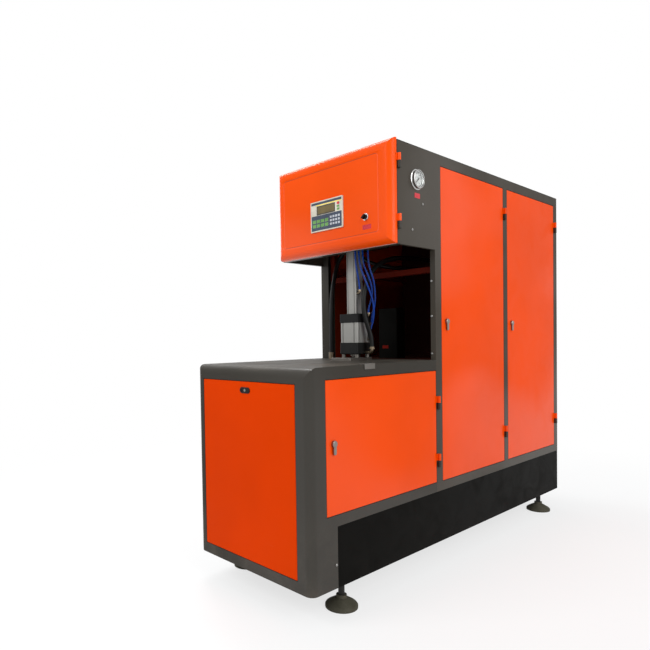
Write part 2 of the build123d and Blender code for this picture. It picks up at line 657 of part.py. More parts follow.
def platen(side):
    """Moving platen on the tie bars with its piston rod and piston."""
    face = AXIS_Y + side * MOULD_HALF
    y = face if side > 0 else face - PLATEN
    plate = clamp_plate(y, PLATEN, TIE_BAR_R + FIT, TIE_BAR_LOW - 60)
    start = face + side * PLATEN
    back = end_plate_y(side) + side * PLATEN
    way = (0, side, 0)
    plate += rod((0, start, ROD_HEIGHT), way, CLAMP_ROD_R, abs(back - start) + 31)
    return plate + rod((0, back + side * 6, ROD_HEIGHT), way, CYLINDER_BORE_R, 25)


def tie_bars():
    """Four tie bars with a nut on each end."""
    start = end_plate_y(-1) - PLATEN
    end = end_plate_y(1) + PLATEN
    bars = []
    for x in (-TIE_BAR_X, TIE_BAR_X):
        for z in (TIE_BAR_LOW, TIE_BAR_HIGH):
            bar = rod((x, start - 26, z), (0, 1, 0), TIE_BAR_R, end - start + 52)
            bar += hexagon((x, start - 22, z), (0, 1, 0), 56, 22)
            bars.append(bar + hexagon((x, end, z), (0, 1, 0), 56, 22))
    return bars


def inner_deck():
    """Sheet floor of the bay behind the columns, at table height."""
    deck = slab((INNER_LEFT, INNER_RIGHT), (COLUMN, DOOR_1_END + 22), (TABLE_TOP - SHEET, TABLE_TOP))
    return deck


def partition():
    """Bulkhead between the blow bay and the electrical bay."""
    y = DOOR_1_END + 22
    return slab((INNER_LEFT, INNER_RIGHT), (y, y + SHEET), (RAIL_TOP, ROOF))


def bay_frame():
    """Orange square tubes: two beams between the columns, joined by a post to a rail along the left wall."""
    y = (DOOR_1 - 27, DOOR_1 + 3)
    frame = slab((INNER_LEFT, INNER_RIGHT), y, (BEAM_LOW, BEAM_LOW + 25))
    frame += slab((INNER_LEFT, INNER_RIGHT), y, (BEAM_HIGH, BEAM_HIGH + 25))
    frame += slab((INNER_LEFT, INNER_LEFT + 25), y, (BEAM_LOW + 25, BEAM_HIGH))
    rail = (BEAM_LOW + 42, BEAM_LOW + 67)
    return frame + slab((INNER_LEFT, INNER_LEFT + 25), (y[1], DOOR_1_END + 22), rail)


def valve_box():
    """High-pressure valve housing standing on the deck."""
    box = slab((-55, 50), (COLUMN + 112, COLUMN + 182), (TABLE_TOP, TABLE_TOP + 240))
    return fillet(box.edges().filter_by(Axis.Z), 4)


def air_manifold():
    """Black distribution block bolted under the upper cross beam."""
    y = (DOOR_1 - 30, DOOR_1)
    block = slab((-130, 60), y, (BEAM_HIGH - 35, BEAM_HIGH))
    return chamfer(block.edges().filter_by(Axis.X), 3)


def valve_bank():
    """Row of pilot valves on a rail inside the head."""
    z = CARRIER_Z
    start = RIGHT - 235
    bank = slab((start, start + 200), (AXIS_Y - 60, AXIS_Y - 12), (z, z + 22))
    for index in range(6):
        x = start + 6 + 32 * index
        body = slab((x, x + 26), (AXIS_Y - 57, AXIS_Y - 15), (z + 22, z + 74))
        bank += fillet(body.edges().filter_by(Axis.Z), 3)
    return bank


def electrical_board():
    """Mounting plate with the controller, the power supply, a contactor row and a cable duct."""
    x = INNER_LEFT + SHEET
    start = DOOR_1_END + 22 + SHEET
    end = FRAME_REAR - 10
    room = end - start
    low = TABLE_TOP - 138
    board = slab((INNER_LEFT, x), (start, end), (low, low + 740))
    steps = [(0, 0), (70, 0), (70, 18), (82, 18), (82, 82), (70, 82), (70, 100), (0, 100), (0, 0)]
    side = Plane.XZ * make_face(Polyline(*steps))
    board += Pos(x, start + 0.47 * room, low + 500) * extrude(side, 0.31 * room)
    supply = slab((x, x + 60), (start + 0.57 * room, start + 0.79 * room), (low + 510, low + 600))
    board += chamfer(supply.faces().sort_by(Axis.X)[-1].edges(), 4)
    for index in range(4):
        y = start + (0.16 + 0.1 * index) * room
        board += slab((x, x + 52), (y, y + 0.075 * room), (low + 250, low + 330))
        board += slab((x + 52, x + 84), (y + 0.01 * room, y + 0.065 * room), (low + 262, low + 318))
    return board + slab((x, x + 50), (start + 0.08 * room, start + 0.92 * room), (low + 370, low + 420))


HMI_X = (-105, 79)
HMI_Z = (RECESS_MIDDLE - 109, RECESS_MIDDLE + 24)
HMI_FACE = PAN_FRONT + RECESS_DEPTH
KEY_COLUMNS = 4


def hmi_case():
    """Operator panel: pale frame, sunk membrane with raised keys, and the display window."""
    case = slab(HMI_X, (HMI_FACE - 6, HMI_FACE), HMI_Z)
    case = fillet(case.edges().filter_by(Axis.Y), 3)
    case = fillet(case.faces().sort_by(Axis.Y)[0].edges(), 1)
    sunk = (HMI_FACE - 5.2, HMI_FACE - 4.6)
    membrane = (HMI_X[0] + 5, HMI_X[1] - 5), (HMI_Z[0] + 5, HMI_Z[1] - 5)
    case -= slab(membrane[0], (HMI_FACE - 7, sunk[0]), membrane[1])
    window = (HMI_X[0] + 35, HMI_X[0] + 142), (HMI_Z[0] + 72, HMI_Z[0] + 112)
    case -= slab(window[0], (HMI_FACE - 7, HMI_FACE - 4), window[1])
    raised = (HMI_FACE - 5.8, sunk[0])
    for row in range(2):
        for column in range(KEY_COLUMNS):
            x = HMI_X[0] + 12 + 24 * column
            z = HMI_Z[0] + 38 - 19 * row
            case += slab((x, x + 19), raised, (z, z + 14))
    for row in range(3):
        for column in range(KEY_COLUMNS):
            x = HMI_X[0] + 113 + 15 * column
            z = HMI_Z[0] + 49 - 15 * row
            case += slab((x, x + 10), raised, (z, z + 9))
    return case


KNOB = (RECESS_X[1] - 85.5, RECESS_MIDDLE - 88)


def selector_collar():
    """Chrome collar of the selector switch."""
    x, z = KNOB
    collar = rod((x, HMI_FACE, z), (0, -1, 0), 15, 5)
    collar = chamfer(collar.faces().sort_by(Axis.Y)[0].edges(), 1.5)
    return collar - rod((x, HMI_FACE + 1, z), (0, -1, 0), 11 + FIT, 8)


def selector_knob():
    """Black selector knob with a raised grip."""
    x, z = KNOB
    knob = rod((x, HMI_FACE, z), (0, -1, 0), 11, 12)
    knob = chamfer(knob.faces().sort_by(Axis.Y)[0].edges(), 1.5)
    grip = Plane((x, HMI_FACE - 12, z), x_dir=(1, 0, 0), z_dir=(0, -1, 0))
    return knob + grip * Rot(0, 0, 45) * extrude(SlotOverall(21, 7), 9)


GAUGE = (HEAD_FRONT + 132, HEIGHT - 137)
GAUGE_R = 42
DIAL_R = 33


def gauge_case():
    """Pressure gauge: flanged bright case with its dial, on the head's right cheek."""
    y, z = GAUGE
    lip = Polyline((0, 0), (GAUGE_R, 0), (GAUGE_R, 3), (DIAL_R + 5, 5), (DIAL_R + 5, 14))
    rim = ThreePointArc((DIAL_R + 5, 14), (DIAL_R + 4, 16), (DIAL_R, 17))
    rest = Polyline((DIAL_R, 17), (DIAL_R, 7), (0, 7), (0, 0))
    case = revolve(Plane.XZ * make_face([lip, rim, rest]), Axis.Z)
    case = Plane((RIGHT, y, z), z_dir=(1, 0, 0)) * case
    return case - rod((RIGHT + 4, y, z), (1, 0, 0), 2 + FIT, 4)


def gauge_needle():
    """Needle on its arbor."""
    y, z = GAUGE
    blade = Plane((RIGHT + 9, y, z), x_dir=(0, 1, 0), z_dir=(1, 0, 0))
    tip = DIAL_R - 7
    outline = [(-9, -1.6), (0, -2.7), (tip, -0.6), (tip, 0.6), (0, 2.7), (-9, 1.6), (-9, -1.6)]
    needle = blade * Rot(0, 0, 225) * extrude(make_face(Polyline(*outline)), 1)
    return needle + rod((RIGHT + 4.5, y, z), (1, 0, 0), 2, 7)


def gauge_glass():
    """Clear window in the rim."""
    y, z = GAUGE
    return rod((RIGHT + 13.5, y, z), (1, 0, 0), DIAL_R - 0.05, 1.5)


def edge_catch():
    """Small pale angle screwed over the table's right edge."""
    y = (COLUMN - 489, COLUMN - 427)
    foot = slab((RIGHT - 22, RIGHT + 3), y, (TABLE_TOP, TABLE_TOP + 3))
    return foot + slab((RIGHT, RIGHT + 3), y, (TABLE_TOP - 18, TABLE_TOP))


def elbow(start, corner, top, radius, across, collar):
    """Pipe elbow: out of a face along X, round a bend and up into a hexagon collar."""
    path = FilletPolyline(start, corner, (corner[0], corner[1], top), radius=radius * 1.3)
    pipe = sweep(Plane(start, z_dir=(1, 0, 0)) * Circle(radius), path=path)
    return pipe + hexagon((corner[0], corner[1], top), (0, 0, 1), across, collar)


def cord_tube(points, radius, name):
    """Free hose: straight runs joined by the largest arcs that the runs allow."""
    points = [Vector(*point) for point in points]
    radii = []
    for before, here, after in zip(points, points[1:], points[2:]):
        turn = (here - before).get_angle(after - here)
        shorter = min((here - before).length, (after - here).length)
        radii.append(0.45 * shorter / math.tan(math.radians(turn / 2)))
    path = FilletPolyline(*points, radius=radii)
    print(name, "length", round(path.length, 1), "radii", [round(r) for r in radii])
    face = Plane(points[0], z_dir=points[1] - points[0]) * Circle(radius)
    return sweep(face, path=path)


# Routes of the free hoses and tubes, drawn with the column at y -247 and the table at z 898
ROUTE_COLUMN = -247
ROUTE_TABLE = 898
BLOW_HOSE = [(84, -372, 958), (84, -372, 992), (76, -384, 1040), (67, -398, 1092), (62, -401, 1152)]
BLOW_HOSE += [(61, -388, 1215), (62, -352, 1283), (66, -297, 1330), (72, -222, 1360)]
BLOW_HOSE += [(80, -118, 1374), (86, 40, 1378), (88, 220, 1374), (88, 376, 1374)]
LEFT_HOSE = [(-142, -215, 1432), (-168, -215, 1432), (-195, -218, 1423), (-217, -224, 1402)]
LEFT_HOSE += [(-228, -233, 1370), (-230, -246, 1330), (-227, -264, 1280), (-222, -284, 1220)]
LEFT_HOSE += [(-217, -297, 1150), (-214, -303, 1075), (-212, -306, 1000), (-212, -306, 930)]
RETURN_HOSE = [(-104, -213, 1397), (-84, -211, 1382), (-58, -207, 1366), (-30, -197, 1351)]
RETURN_HOSE += [(0, -180, 1339), (28, -150, 1330), (47, -98, 1328), (59, -10, 1334)]
RETURN_HOSE += [(64, 120, 1338), (60, 260, 1336), (60, 376, 1336)]
TUBE_SEAL_LOW = [(60, -352, 1006), (60, -352, 1032), (77, -349, 1078), (86, -355, 1135)]
TUBE_SEAL_LOW += [(84, -377, 1198), (73, -404, 1262), (56, -421, 1326), (56, -421, 1385)]
TUBE_SEAL_HIGH = [(60, -341, 1066), (60, -341, 1092), (77, -337, 1142), (85, -345, 1205)]
TUBE_SEAL_HIGH += [(85, -357, 1262), (76, -382, 1323), (76, -382, 1385)]
TUBE_ADAPTER = [(60, -362, 1111), (60, -362, 1133), (78, -359, 1175), (84, -366, 1225)]
TUBE_ADAPTER += [(78, -385, 1275), (62, -403, 1331), (62, -403, 1385)]
TUBE_STRETCH = [(40, -398, 1214), (40, -398, 1238), (46, -418, 1280), (44, -431, 1334), (44, -431, 1385)]


def moved(points):
    """Route carried along with the column and the table."""
    return [(x, y + COLUMN - ROUTE_COLUMN, z + TABLE_TOP - ROUTE_TABLE) for x, y, z in points]


BLOW_HOSE, LEFT_HOSE, RETURN_HOSE = map(moved, (BLOW_HOSE, LEFT_HOSE, RETURN_HOSE))
TUBE_SEAL_LOW, TUBE_SEAL_HIGH = map(moved, (TUBE_SEAL_LOW, TUBE_SEAL_HIGH))
TUBE_ADAPTER, TUBE_STRETCH = map(moved, (TUBE_ADAPTER, TUBE_STRETCH))


def hose_fittings():
    """Elbow at the base block, hose couplings, push-in elbows and glands of the tubes."""
    x, y, z = BLOW_HOSE[0]
    level = BASE_Z + 8
    out = elbow((BASE_SIZE / 2, y, level), (x, y, level), level + 15, 8, 26, z - level - 23)
    fittings = [out + rod((x, y, z - 8), (0, 0, 1), 13, 8)]
    for route in (BLOW_HOSE, RETURN_HOSE):
        x, y, z = route[-1]
        fittings.append(rod((x, y, z), (0, 1, 0), 13, DOOR_1_END + 22 - y))
    x, y, z = LEFT_HOSE[-1]
    fittings.append(rod((x, y, TABLE_TOP), (0, 0, 1), 13, z - TABLE_TOP))
    x, y, z = LEFT_HOSE[0]
    fittings.append(rod((x, y, z), (1, 0, 0), 13, -130 - x))
    start = Vector(*RETURN_HOSE[0])
    back = (start - Vector(*RETURN_HOSE[1])).normalized()
    swivel = rod(start, back, 11, 14) + Pos(start + back * 14) * Sphere(11)
    fittings.append(swivel - Pos(start.X, start.Y, BEAM_HIGH - 35) * Box(60, 60, 40, align=ABOVE))
    faces = (SEAL_SIZE / 2, SEAL_SIZE / 2, BASE_SIZE / 2, STRETCH_SIZE / 2)
    for route, face in zip((TUBE_SEAL_LOW, TUBE_SEAL_HIGH, TUBE_ADAPTER, TUBE_STRETCH), faces):
        x, y, z = route[0]
        fittings.append(elbow((face, y, z - 16), (x, y, z - 16), z - 8, 4.5, 13, 8))
        x, y, z = route[-1]
        fittings.append(rod((x, y, z), (0, 0, 1), 7, CARRIER_Z - SHEET - z))
    return fittings


def panel_screws():
    """Pan-head screws of the column, the head's cheek, the front leg, the left panel and the rear cover."""
    screw = Cylinder(5, 3.2, align=ABOVE)
    screw = chamfer(screw.edges().sort_by(Axis.Z)[-1], 1.4)
    screws = []
    for z in (TABLE_TOP + 27, TABLE_TOP + 188, TABLE_TOP + 338):
        screws.append(Pos(INNER_RIGHT + 6, COLUMN, z) * Rot(90, 0, 0) * screw)
    for y, z in ((HEAD_FRONT + 100, HEAD_BOTTOM + 66), (HEAD_FRONT + 177, HEAD_BOTTOM + 179)):
        screws.append(Pos(RIGHT, y, z) * Rot(0, 90, 0) * screw)
    screws.append(Pos(RIGHT, FRONT + FRONT_LEG - 9, FRAME_BOTTOM + 85) * Rot(0, 90, 0) * screw)
    for y in (DOOR_1 + 20, (DOOR_1 + DOOR_2_END) / 2, DOOR_2_END - 20):
        for z in (DOOR_LOW + 20, DOOR_HIGH - 20):
            screws.append(Pos(-RIGHT, y, z) * Rot(0, -90, 0) * screw)
    for x in (-RIGHT + 12, RIGHT - 12):
        for z in (SKIRT_TOP + 20, (SKIRT_TOP + ROOF) / 2, ROOF - 45):
            screws.append(Pos(x, REAR, z) * Rot(-90, 0, 0) * screw)
    return screws


FRONT_DOOR = (DOOR_1, DOOR_1_END)
REAR_DOOR = (DOOR_2, DOOR_2_END)
DOOR_Z = (DOOR_LOW, DOOR_HIGH)

nodes = {
    "base_frame": base_frame(),
    "foot_pads": foot_pads(),
    "foot_studs": foot_studs() + foot_nuts(),
    "front_cabinet_shell": front_cabinet_shell(),
    "right_side_frame": side_frame(RIGHT_DEPTH, [FRONT_DOOR, REAR_DOOR]),
    "left_side_frame": mirror(side_frame(LEFT_DEPTH, [(DOOR_1, DOOR_2_END)]), Plane.YZ),
    "roof_panel": roof_panel(),
    "rear_cover": rear_cover(),
    "head_housing": head_housing(),
    "kick_panel": kick_panel(),
    "left_side_panel": side_pan((DOOR_1, DOOR_2_END), DOOR_Z, -1, 0),
    "front_panel": front_panel(),
    "front_lock_case": front_lock_case(),
    "front_lock_plug": front_lock_plug(),
    "lower_side_door": side_door("lower_side_door", *side_opening()),
    "tall_door_front": side_door("tall_door_front", FRONT_DOOR, DOOR_Z),
    "tall_door_rear": side_door("tall_door_rear", REAR_DOOR, DOOR_Z),
    "lower_door_lock": lock_handle("lower_side_door"),
    "front_door_lock": lock_handle("tall_door_front"),
    "rear_door_lock": lock_handle("tall_door_rear"),
    "control_door": control_door(),
    "control_door_seal": control_door_seal(),
    "hinge_sockets": hinge_sockets(),
    "gauge_case": gauge_case(),
    "gauge_needle": gauge_needle(),
    "gauge_glass": gauge_glass(),
    "operator_panel": hmi_case(),
    "selector_collar": selector_collar(),
    "selector_knob": selector_knob(),
    "stretch_cylinder": stretch_cylinder(),
    "seal_cylinder": seal_cylinder(),
    "adapter_plate": adapter_plate(),
    "blow_base": blow_base(),
    "neck_plate": neck_plate(),
    "seal_nozzle": seal_nozzle(),
    "stretch_rod": stretch_rod(),
    "inner_deck": inner_deck(),
    "partition": partition(),
    "bay_frame": bay_frame(),
    "valve_box": valve_box(),
    "air_manifold": air_manifold(),
    "valve_bank": valve_bank(),
    "electrical_board": electrical_board(),
    "hose_fittings": hose_fittings(),
    "panel_screws": panel_screws(),
    "edge_catch": edge_catch(),
    "tie_bars": tie_bars(),
    "clamp_end_front": clamp_end(-1),
    "clamp_end_rear": clamp_end(1),
    "platen_front": platen(-1),
    "platen_rear": platen(1),
    "mould_front": mould_half(-1),
    "mould_rear": mould_half(1),
    "blow_hose": cord_tube(BLOW_HOSE, 11, "blow_hose"),
    "left_hose": cord_tube(LEFT_HOSE, 10, "left_hose"),
    "return_hose": cord_tube(RETURN_HOSE, 8, "return_hose"),
    "tube_seal_low": cord_tube(TUBE_SEAL_LOW, 4, "tube_seal_low"),
    "tube_seal_high": cord_tube(TUBE_SEAL_HIGH, 4, "tube_seal_high"),
    "tube_adapter": cord_tube(TUBE_ADAPTER, 4, "tube_adapter"),
    "tube_stretch": cord_tube(TUBE_STRETCH, 4, "tube_stretch"),
}

os.makedirs("parts", exist_ok=True)
for name, shape in nodes.items():
    solids = shape if isinstance(shape, list) else shape.solids()
    solids = [solid for part in solids for solid in part.solids()]
    export_step(solids[0] if len(solids) == 1 else Compound(solids), f"parts/{name}.step")
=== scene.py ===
# %% [markdown]
# A blow moulding machine stands on levelling pads in a plain pale studio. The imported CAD
# model has every rigid part at its true place in metres, so none is modelled twice. This
# file gives the parts their paint, metal, rubber and plastic, and adds what is too soft or
# too fine for the CAD model: the hoses, the printed panel and the gauge's dial.

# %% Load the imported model
import json
import math

import bpy
import numpy as np
from mathutils import Matrix, Vector

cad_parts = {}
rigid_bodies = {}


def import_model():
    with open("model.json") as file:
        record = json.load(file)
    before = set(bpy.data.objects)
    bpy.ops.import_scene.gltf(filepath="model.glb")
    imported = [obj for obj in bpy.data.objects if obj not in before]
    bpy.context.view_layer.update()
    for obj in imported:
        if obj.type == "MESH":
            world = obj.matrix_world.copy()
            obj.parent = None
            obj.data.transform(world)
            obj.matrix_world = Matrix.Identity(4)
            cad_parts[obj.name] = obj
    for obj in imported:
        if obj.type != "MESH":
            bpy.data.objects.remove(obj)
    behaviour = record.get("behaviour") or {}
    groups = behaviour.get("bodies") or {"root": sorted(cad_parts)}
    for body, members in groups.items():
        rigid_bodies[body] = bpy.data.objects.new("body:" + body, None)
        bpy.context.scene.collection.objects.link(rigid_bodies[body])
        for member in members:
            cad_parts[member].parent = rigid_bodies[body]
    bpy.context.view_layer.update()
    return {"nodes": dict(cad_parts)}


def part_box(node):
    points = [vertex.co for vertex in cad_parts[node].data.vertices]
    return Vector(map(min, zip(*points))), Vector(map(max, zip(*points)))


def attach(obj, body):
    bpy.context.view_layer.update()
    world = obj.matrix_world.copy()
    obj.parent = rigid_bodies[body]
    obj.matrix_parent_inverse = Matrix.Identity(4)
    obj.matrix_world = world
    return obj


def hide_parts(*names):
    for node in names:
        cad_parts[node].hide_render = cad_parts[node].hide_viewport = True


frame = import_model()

parts = frame["nodes"]
print("parts in the frame:", len(parts))

# %% [markdown]
# Every finish is a small tree of shader nodes. It could be wired by hand in the editor, but
# then nobody could read how it was made. One helper adds a node, sets its options and
# fills its inputs with a value or a link. The others give common nodes a short name.

# %% Helpers for shader trees
def srgb(red, green, blue):
    """Colour as 0 to 255 steps on a screen, turned into linear light for a shader."""
    steps = np.array([red, green, blue]) / 255
    light = np.where(steps <= 0.04045, steps / 12.92, ((steps + 0.055) / 1.055) ** 2.4)
    return (*[float(part) for part in light], 1.0)


def add(tree, kind, inputs=None, **options):
    """New node with its options set; each input is a value or the socket it is linked from."""
    node = tree.nodes.new(kind)
    for name, value in options.items():
        setattr(node, name, value)
    for name, value in (inputs or {}).items():
        socket = node.inputs[name]
        if isinstance(value, bpy.types.NodeSocket):
            tree.links.new(value, socket)
        else:
            socket.default_value = value
    return node


def maths(tree, operation, first, second=0.0, clamp=False):
    """One step of arithmetic on two values or sockets."""
    inputs = {0: first, 1: second}
    return add(tree, "ShaderNodeMath", inputs, operation=operation, use_clamp=clamp).outputs[0]


def blend(tree, amount, first, second):
    """Mix of two colours by a mask; a Mix node keeps its colours in sockets 6, 7 and out 2."""
    node = add(tree, "ShaderNodeMix", {"Factor": amount, 6: first, 7: second}, data_type="RGBA")
    return node.outputs[2]


def noise(tree, place, scale, detail=3.0, rough=0.5, twist=0.0):
    """Cloudy noise around one half."""
    inputs = {"Vector": place, "Scale": scale, "Detail": detail, "Roughness": rough,
              "Distortion": twist}
    return add(tree, "ShaderNodeTexNoise", inputs).outputs["Fac"]


def ramp(tree, value, low, high, start=0.0, end=1.0):
    """Value stretched from one range to another, smooth at both ends."""
    inputs = {"Value": value, "From Min": low, "From Max": high, "To Min": start, "To Max": end}
    node = add(tree, "ShaderNodeMapRange", inputs, interpolation_type="SMOOTHSTEP")
    return node.outputs["Result"]


def object_place(tree):
    """Place of each point in the object's own axes, in metres."""
    return add(tree, "ShaderNodeTexCoord").outputs["Object"]


def stretched(tree, place, scale):
    """Place multiplied by a scale on each axis; a small scale draws noise out into lines."""
    return add(tree, "ShaderNodeMapping", {"Vector": place, "Scale": scale}).outputs["Vector"]


def axis(tree, vector, letter):
    """One measure of a vector: X, Y or Z."""
    return add(tree, "ShaderNodeSeparateXYZ", {0: vector}).outputs[letter]


print("mid grey in linear light:", round(srgb(128, 128, 128)[0], 3))

# %% [markdown]
# Paint, metal and plastic each need many finishes that differ only in a few numbers. Copies
# of one tree would drift apart, so a node group holds what they share. It hands out only
# values: the shader itself stays in each material, where its plain numbers can be read.

# %% Helpers for shared groups
def new_group(name, inputs, outputs):
    """Empty node group with named sockets; inputs hold their defaults."""
    tree = bpy.data.node_groups.new(name, "ShaderNodeTree")
    for label, value in inputs.items():
        kind = "NodeSocketColor" if isinstance(value, tuple) else "NodeSocketFloat"
        socket = tree.interface.new_socket(name=label, in_out="INPUT", socket_type=kind)
        socket.default_value = value
    for label, kind in outputs.items():
        tree.interface.new_socket(name=label, in_out="OUTPUT", socket_type="NodeSocket" + kind)
    return tree, tree.nodes.new("NodeGroupInput"), tree.nodes.new("NodeGroupOutput")


def hand_out(tree, group_out, results):
    """Link each result to the group's own output of the same name."""
    for label, socket in results.items():
        tree.links.new(socket, group_out.inputs[label])
    print(tree.name, "nodes:", len(tree.nodes), "gives:", list(results))

# %% [markdown]
# Workshop dust settles on faces that look up and gathers near the floor. It could be painted
# on part by part. Here a mask is made from the way a face points and from its height, then
# broken up with noise, so that one group dulls every finish in the same way.

# %% Dust as a shared group
dust, dust_in, dust_out = new_group(
    "workshop_dust", {"Amount": 0.3, "Floor Reach": 0.45}, {"Mask": "Float"}
)
NEAR_FLOOR_SHARE = 0.8
dust_place = object_place(dust)
dust_normal = add(dust, "ShaderNodeNewGeometry").outputs["Normal"]
dust_up = ramp(dust, axis(dust, dust_normal, "Z"), low=0.35, high=0.95)
dust_height = axis(dust, dust_place, "Z")
dust_far = ramp(dust, dust_height, low=0.05, high=dust_in.outputs["Floor Reach"])
dust_near_floor = maths(dust, "SUBTRACT", 1.0, dust_far)
dust_cloud = noise(dust, dust_place, scale=5.0, detail=8.0, rough=0.65, twist=0.4)
dust_cloud = ramp(dust, dust_cloud, low=0.35, high=0.75)
dust_grain = noise(dust, dust_place, scale=420.0, detail=2.0, rough=0.6)
dust_grain = ramp(dust, dust_grain, low=0.3, high=0.7, start=0.55, end=1.0)
dust_low_down = maths(dust, "MULTIPLY", dust_near_floor, NEAR_FLOOR_SHARE)
dust_where = maths(dust, "MAXIMUM", dust_up, dust_low_down)
dust_broken = maths(dust, "MULTIPLY", dust_where, dust_cloud)
dust_broken = maths(dust, "MULTIPLY", dust_broken, dust_grain)
dust_mask = maths(dust, "MULTIPLY", dust_broken, dust_in.outputs["Amount"], clamp=True)
hand_out(dust, dust_out, {"Mask": dust_mask})


def dust_on(tree, group_in):
    """Mask of the dust group, used inside another group with that group's own amount."""
    amount = {"Amount": group_in.outputs["Dust"]}
    return add(tree, "ShaderNodeGroup", amount, node_tree=dust).outputs["Mask"]

# %% [markdown]
# The sheet metal is sprayed and baked. Such paint could be one flat colour, but on a large
# sheet the tone drifts and thin scuffs show as paler lines. Slow noise gives the drift.
# Noise drawn out sideways gives the scuffs, and a slower one keeps them to a few places.

# %% Colour of sprayed enamel
enamel, enamel_in, enamel_out = new_group(
    "sprayed_enamel",
    {"Colour": (0.8, 0.2, 0.05, 1.0), "Gloss Loss": 0.4, "Scuffs": 0.3, "Dust": 0.3,
     "Lacquer": 0.0},
    {"Colour": "Color", "Roughness": "Float", "Height": "Float", "Coat": "Float"},
)
SCUFFED_PAINT, DUSTY_PAINT = srgb(168, 152, 140), srgb(150, 140, 126)
enamel_place = object_place(enamel)
enamel_cloud = noise(enamel, enamel_place, scale=1.7, detail=3.0, rough=0.45, twist=0.2)
enamel_tint = ramp(enamel, enamel_cloud, low=0.3, high=0.7, start=-0.06, end=0.06)
enamel_value = maths(enamel, "ADD", 1.0, enamel_tint)
enamel_shade = add(
    enamel, "ShaderNodeHueSaturation",
    {"Color": enamel_in.outputs["Colour"], "Value": enamel_value},
).outputs["Color"]
scuff_place = stretched(enamel, enamel_place, (9.0, 9.0, 95.0))
scuff_lines = noise(enamel, scuff_place, scale=1.0, detail=6.0, rough=0.7, twist=1.5)
scuff_lines = ramp(enamel, scuff_lines, low=0.62, high=0.72)
scuff_where = noise(enamel, enamel_place, scale=3.7, detail=2.0)
scuff_where = ramp(enamel, scuff_where, low=0.58, high=0.72)
scuff_mask = maths(enamel, "MULTIPLY", scuff_lines, scuff_where)
scuff_mask = maths(enamel, "MULTIPLY", scuff_mask, enamel_in.outputs["Scuffs"], clamp=True)
enamel_scuffed = blend(enamel, scuff_mask, enamel_shade, SCUFFED_PAINT)
enamel_dust = dust_on(enamel, enamel_in)
enamel_colour = blend(enamel, enamel_dust, enamel_scuffed, DUSTY_PAINT)
print("nodes for the enamel's colour:", len(enamel.nodes))

# %% [markdown]
# Close up, sprayed paint has the fine pits of an orange peel; from afar a large sheet is
# never quite flat, so its gloss wavers. Hands leave dull smears. The clear lacquer on top is
# uneven, so pale reflections come and go in broad soft patches. Pictures could hold all
# this, but only for one size of sheet. Here it is noise at different scales, sent to the
# roughness, the height and the weight of the coat.

# %% Gloss, height and lacquer of sprayed enamel
DUST_DULLS, PEEL_DEPTH, WAVE_DEPTH = 0.35, 0.05, 1.6
smears = noise(enamel, enamel_place, scale=7.5, detail=6.0, rough=0.6, twist=0.8)
smears = ramp(enamel, smears, low=0.35, high=0.75, start=-0.05, end=0.09)
enamel_rough = maths(enamel, "ADD", enamel_in.outputs["Gloss Loss"], smears)
enamel_dulled = maths(enamel, "MULTIPLY", enamel_dust, DUST_DULLS)
enamel_rough = maths(enamel, "ADD", enamel_rough, enamel_dulled)
peel = noise(enamel, enamel_place, scale=520.0, detail=2.0, rough=0.45)
sheet_wave = noise(enamel, enamel_place, scale=3.0, detail=2.0, rough=0.4)
peel = maths(enamel, "MULTIPLY", peel, PEEL_DEPTH)
sheet_wave = maths(enamel, "MULTIPLY", sheet_wave, WAVE_DEPTH)
enamel_height = maths(enamel, "ADD", peel, sheet_wave)
lacquer_place = stretched(enamel, enamel_place, (0.8, 1.0, 1.5))
lacquer_cloud = noise(enamel, lacquer_place, scale=1.0, detail=1.0, rough=0.4)
lacquer_share = ramp(enamel, lacquer_cloud, low=0.42, high=0.58, start=0.3, end=2.4)
enamel_coat = maths(enamel, "MULTIPLY", enamel_in.outputs["Lacquer"], lacquer_share)
hand_out(enamel, enamel_out, {
    "Colour": enamel_colour, "Roughness": enamel_rough, "Height": enamel_height,
    "Coat": enamel_coat,
})

# %% [markdown]
# Ground, drawn and turned metal carries fine lines left by the tool. They could be modelled,
# but are far too fine for that. Noise that is long along one axis and short across it gives
# those lines; a second, cloudy noise gives the grey patches that oil and handling leave.

# %% Tool-marked metal as a shared group
metal, metal_in, metal_out = new_group(
    "tool_marked_metal",
    {"Colour": (0.6, 0.6, 0.6, 1.0), "Gloss Loss": 0.3, "Stain": 0.3, "Dust": 0.15},
    {"Colour": "Color", "Roughness": "Float", "Height": "Float"},
)
STAIN_DULLS = 0.25
STAINED_METAL, DUSTY_METAL = srgb(86, 80, 72), srgb(148, 140, 128)
metal_place = object_place(metal)
line_place = stretched(metal, metal_place, (900.0, 900.0, 14.0))
metal_lines = noise(metal, line_place, scale=1.0, detail=3.0, rough=0.6)
metal_cloud = noise(metal, metal_place, scale=14.0, detail=6.0, rough=0.6, twist=0.5)
stain_mask = ramp(metal, metal_cloud, low=0.45, high=0.75)
stain_mask = maths(metal, "MULTIPLY", stain_mask, metal_in.outputs["Stain"], clamp=True)
metal_stained = blend(metal, stain_mask, metal_in.outputs["Colour"], STAINED_METAL)
metal_colour = blend(metal, dust_on(metal, metal_in), metal_stained, DUSTY_METAL)
line_gloss = ramp(metal, metal_lines, low=0.3, high=0.7, start=-0.04, end=0.08)
metal_rough = maths(metal, "ADD", metal_in.outputs["Gloss Loss"], line_gloss)
metal_rough = maths(metal, "ADD", metal_rough, maths(metal, "MULTIPLY", stain_mask, STAIN_DULLS))
hand_out(metal, metal_out, {
    "Colour": metal_colour, "Roughness": metal_rough, "Height": metal_lines,
})

# %% [markdown]
# A mould or a die leaves the same skin in every direction, so rubber, tube and moulded
# plastic have a soft speckle. The metal's group would draw lines on them. This third group
# uses plain noise, and the size of its grain is an input: coarse for a casting, fine for a
# printed film.

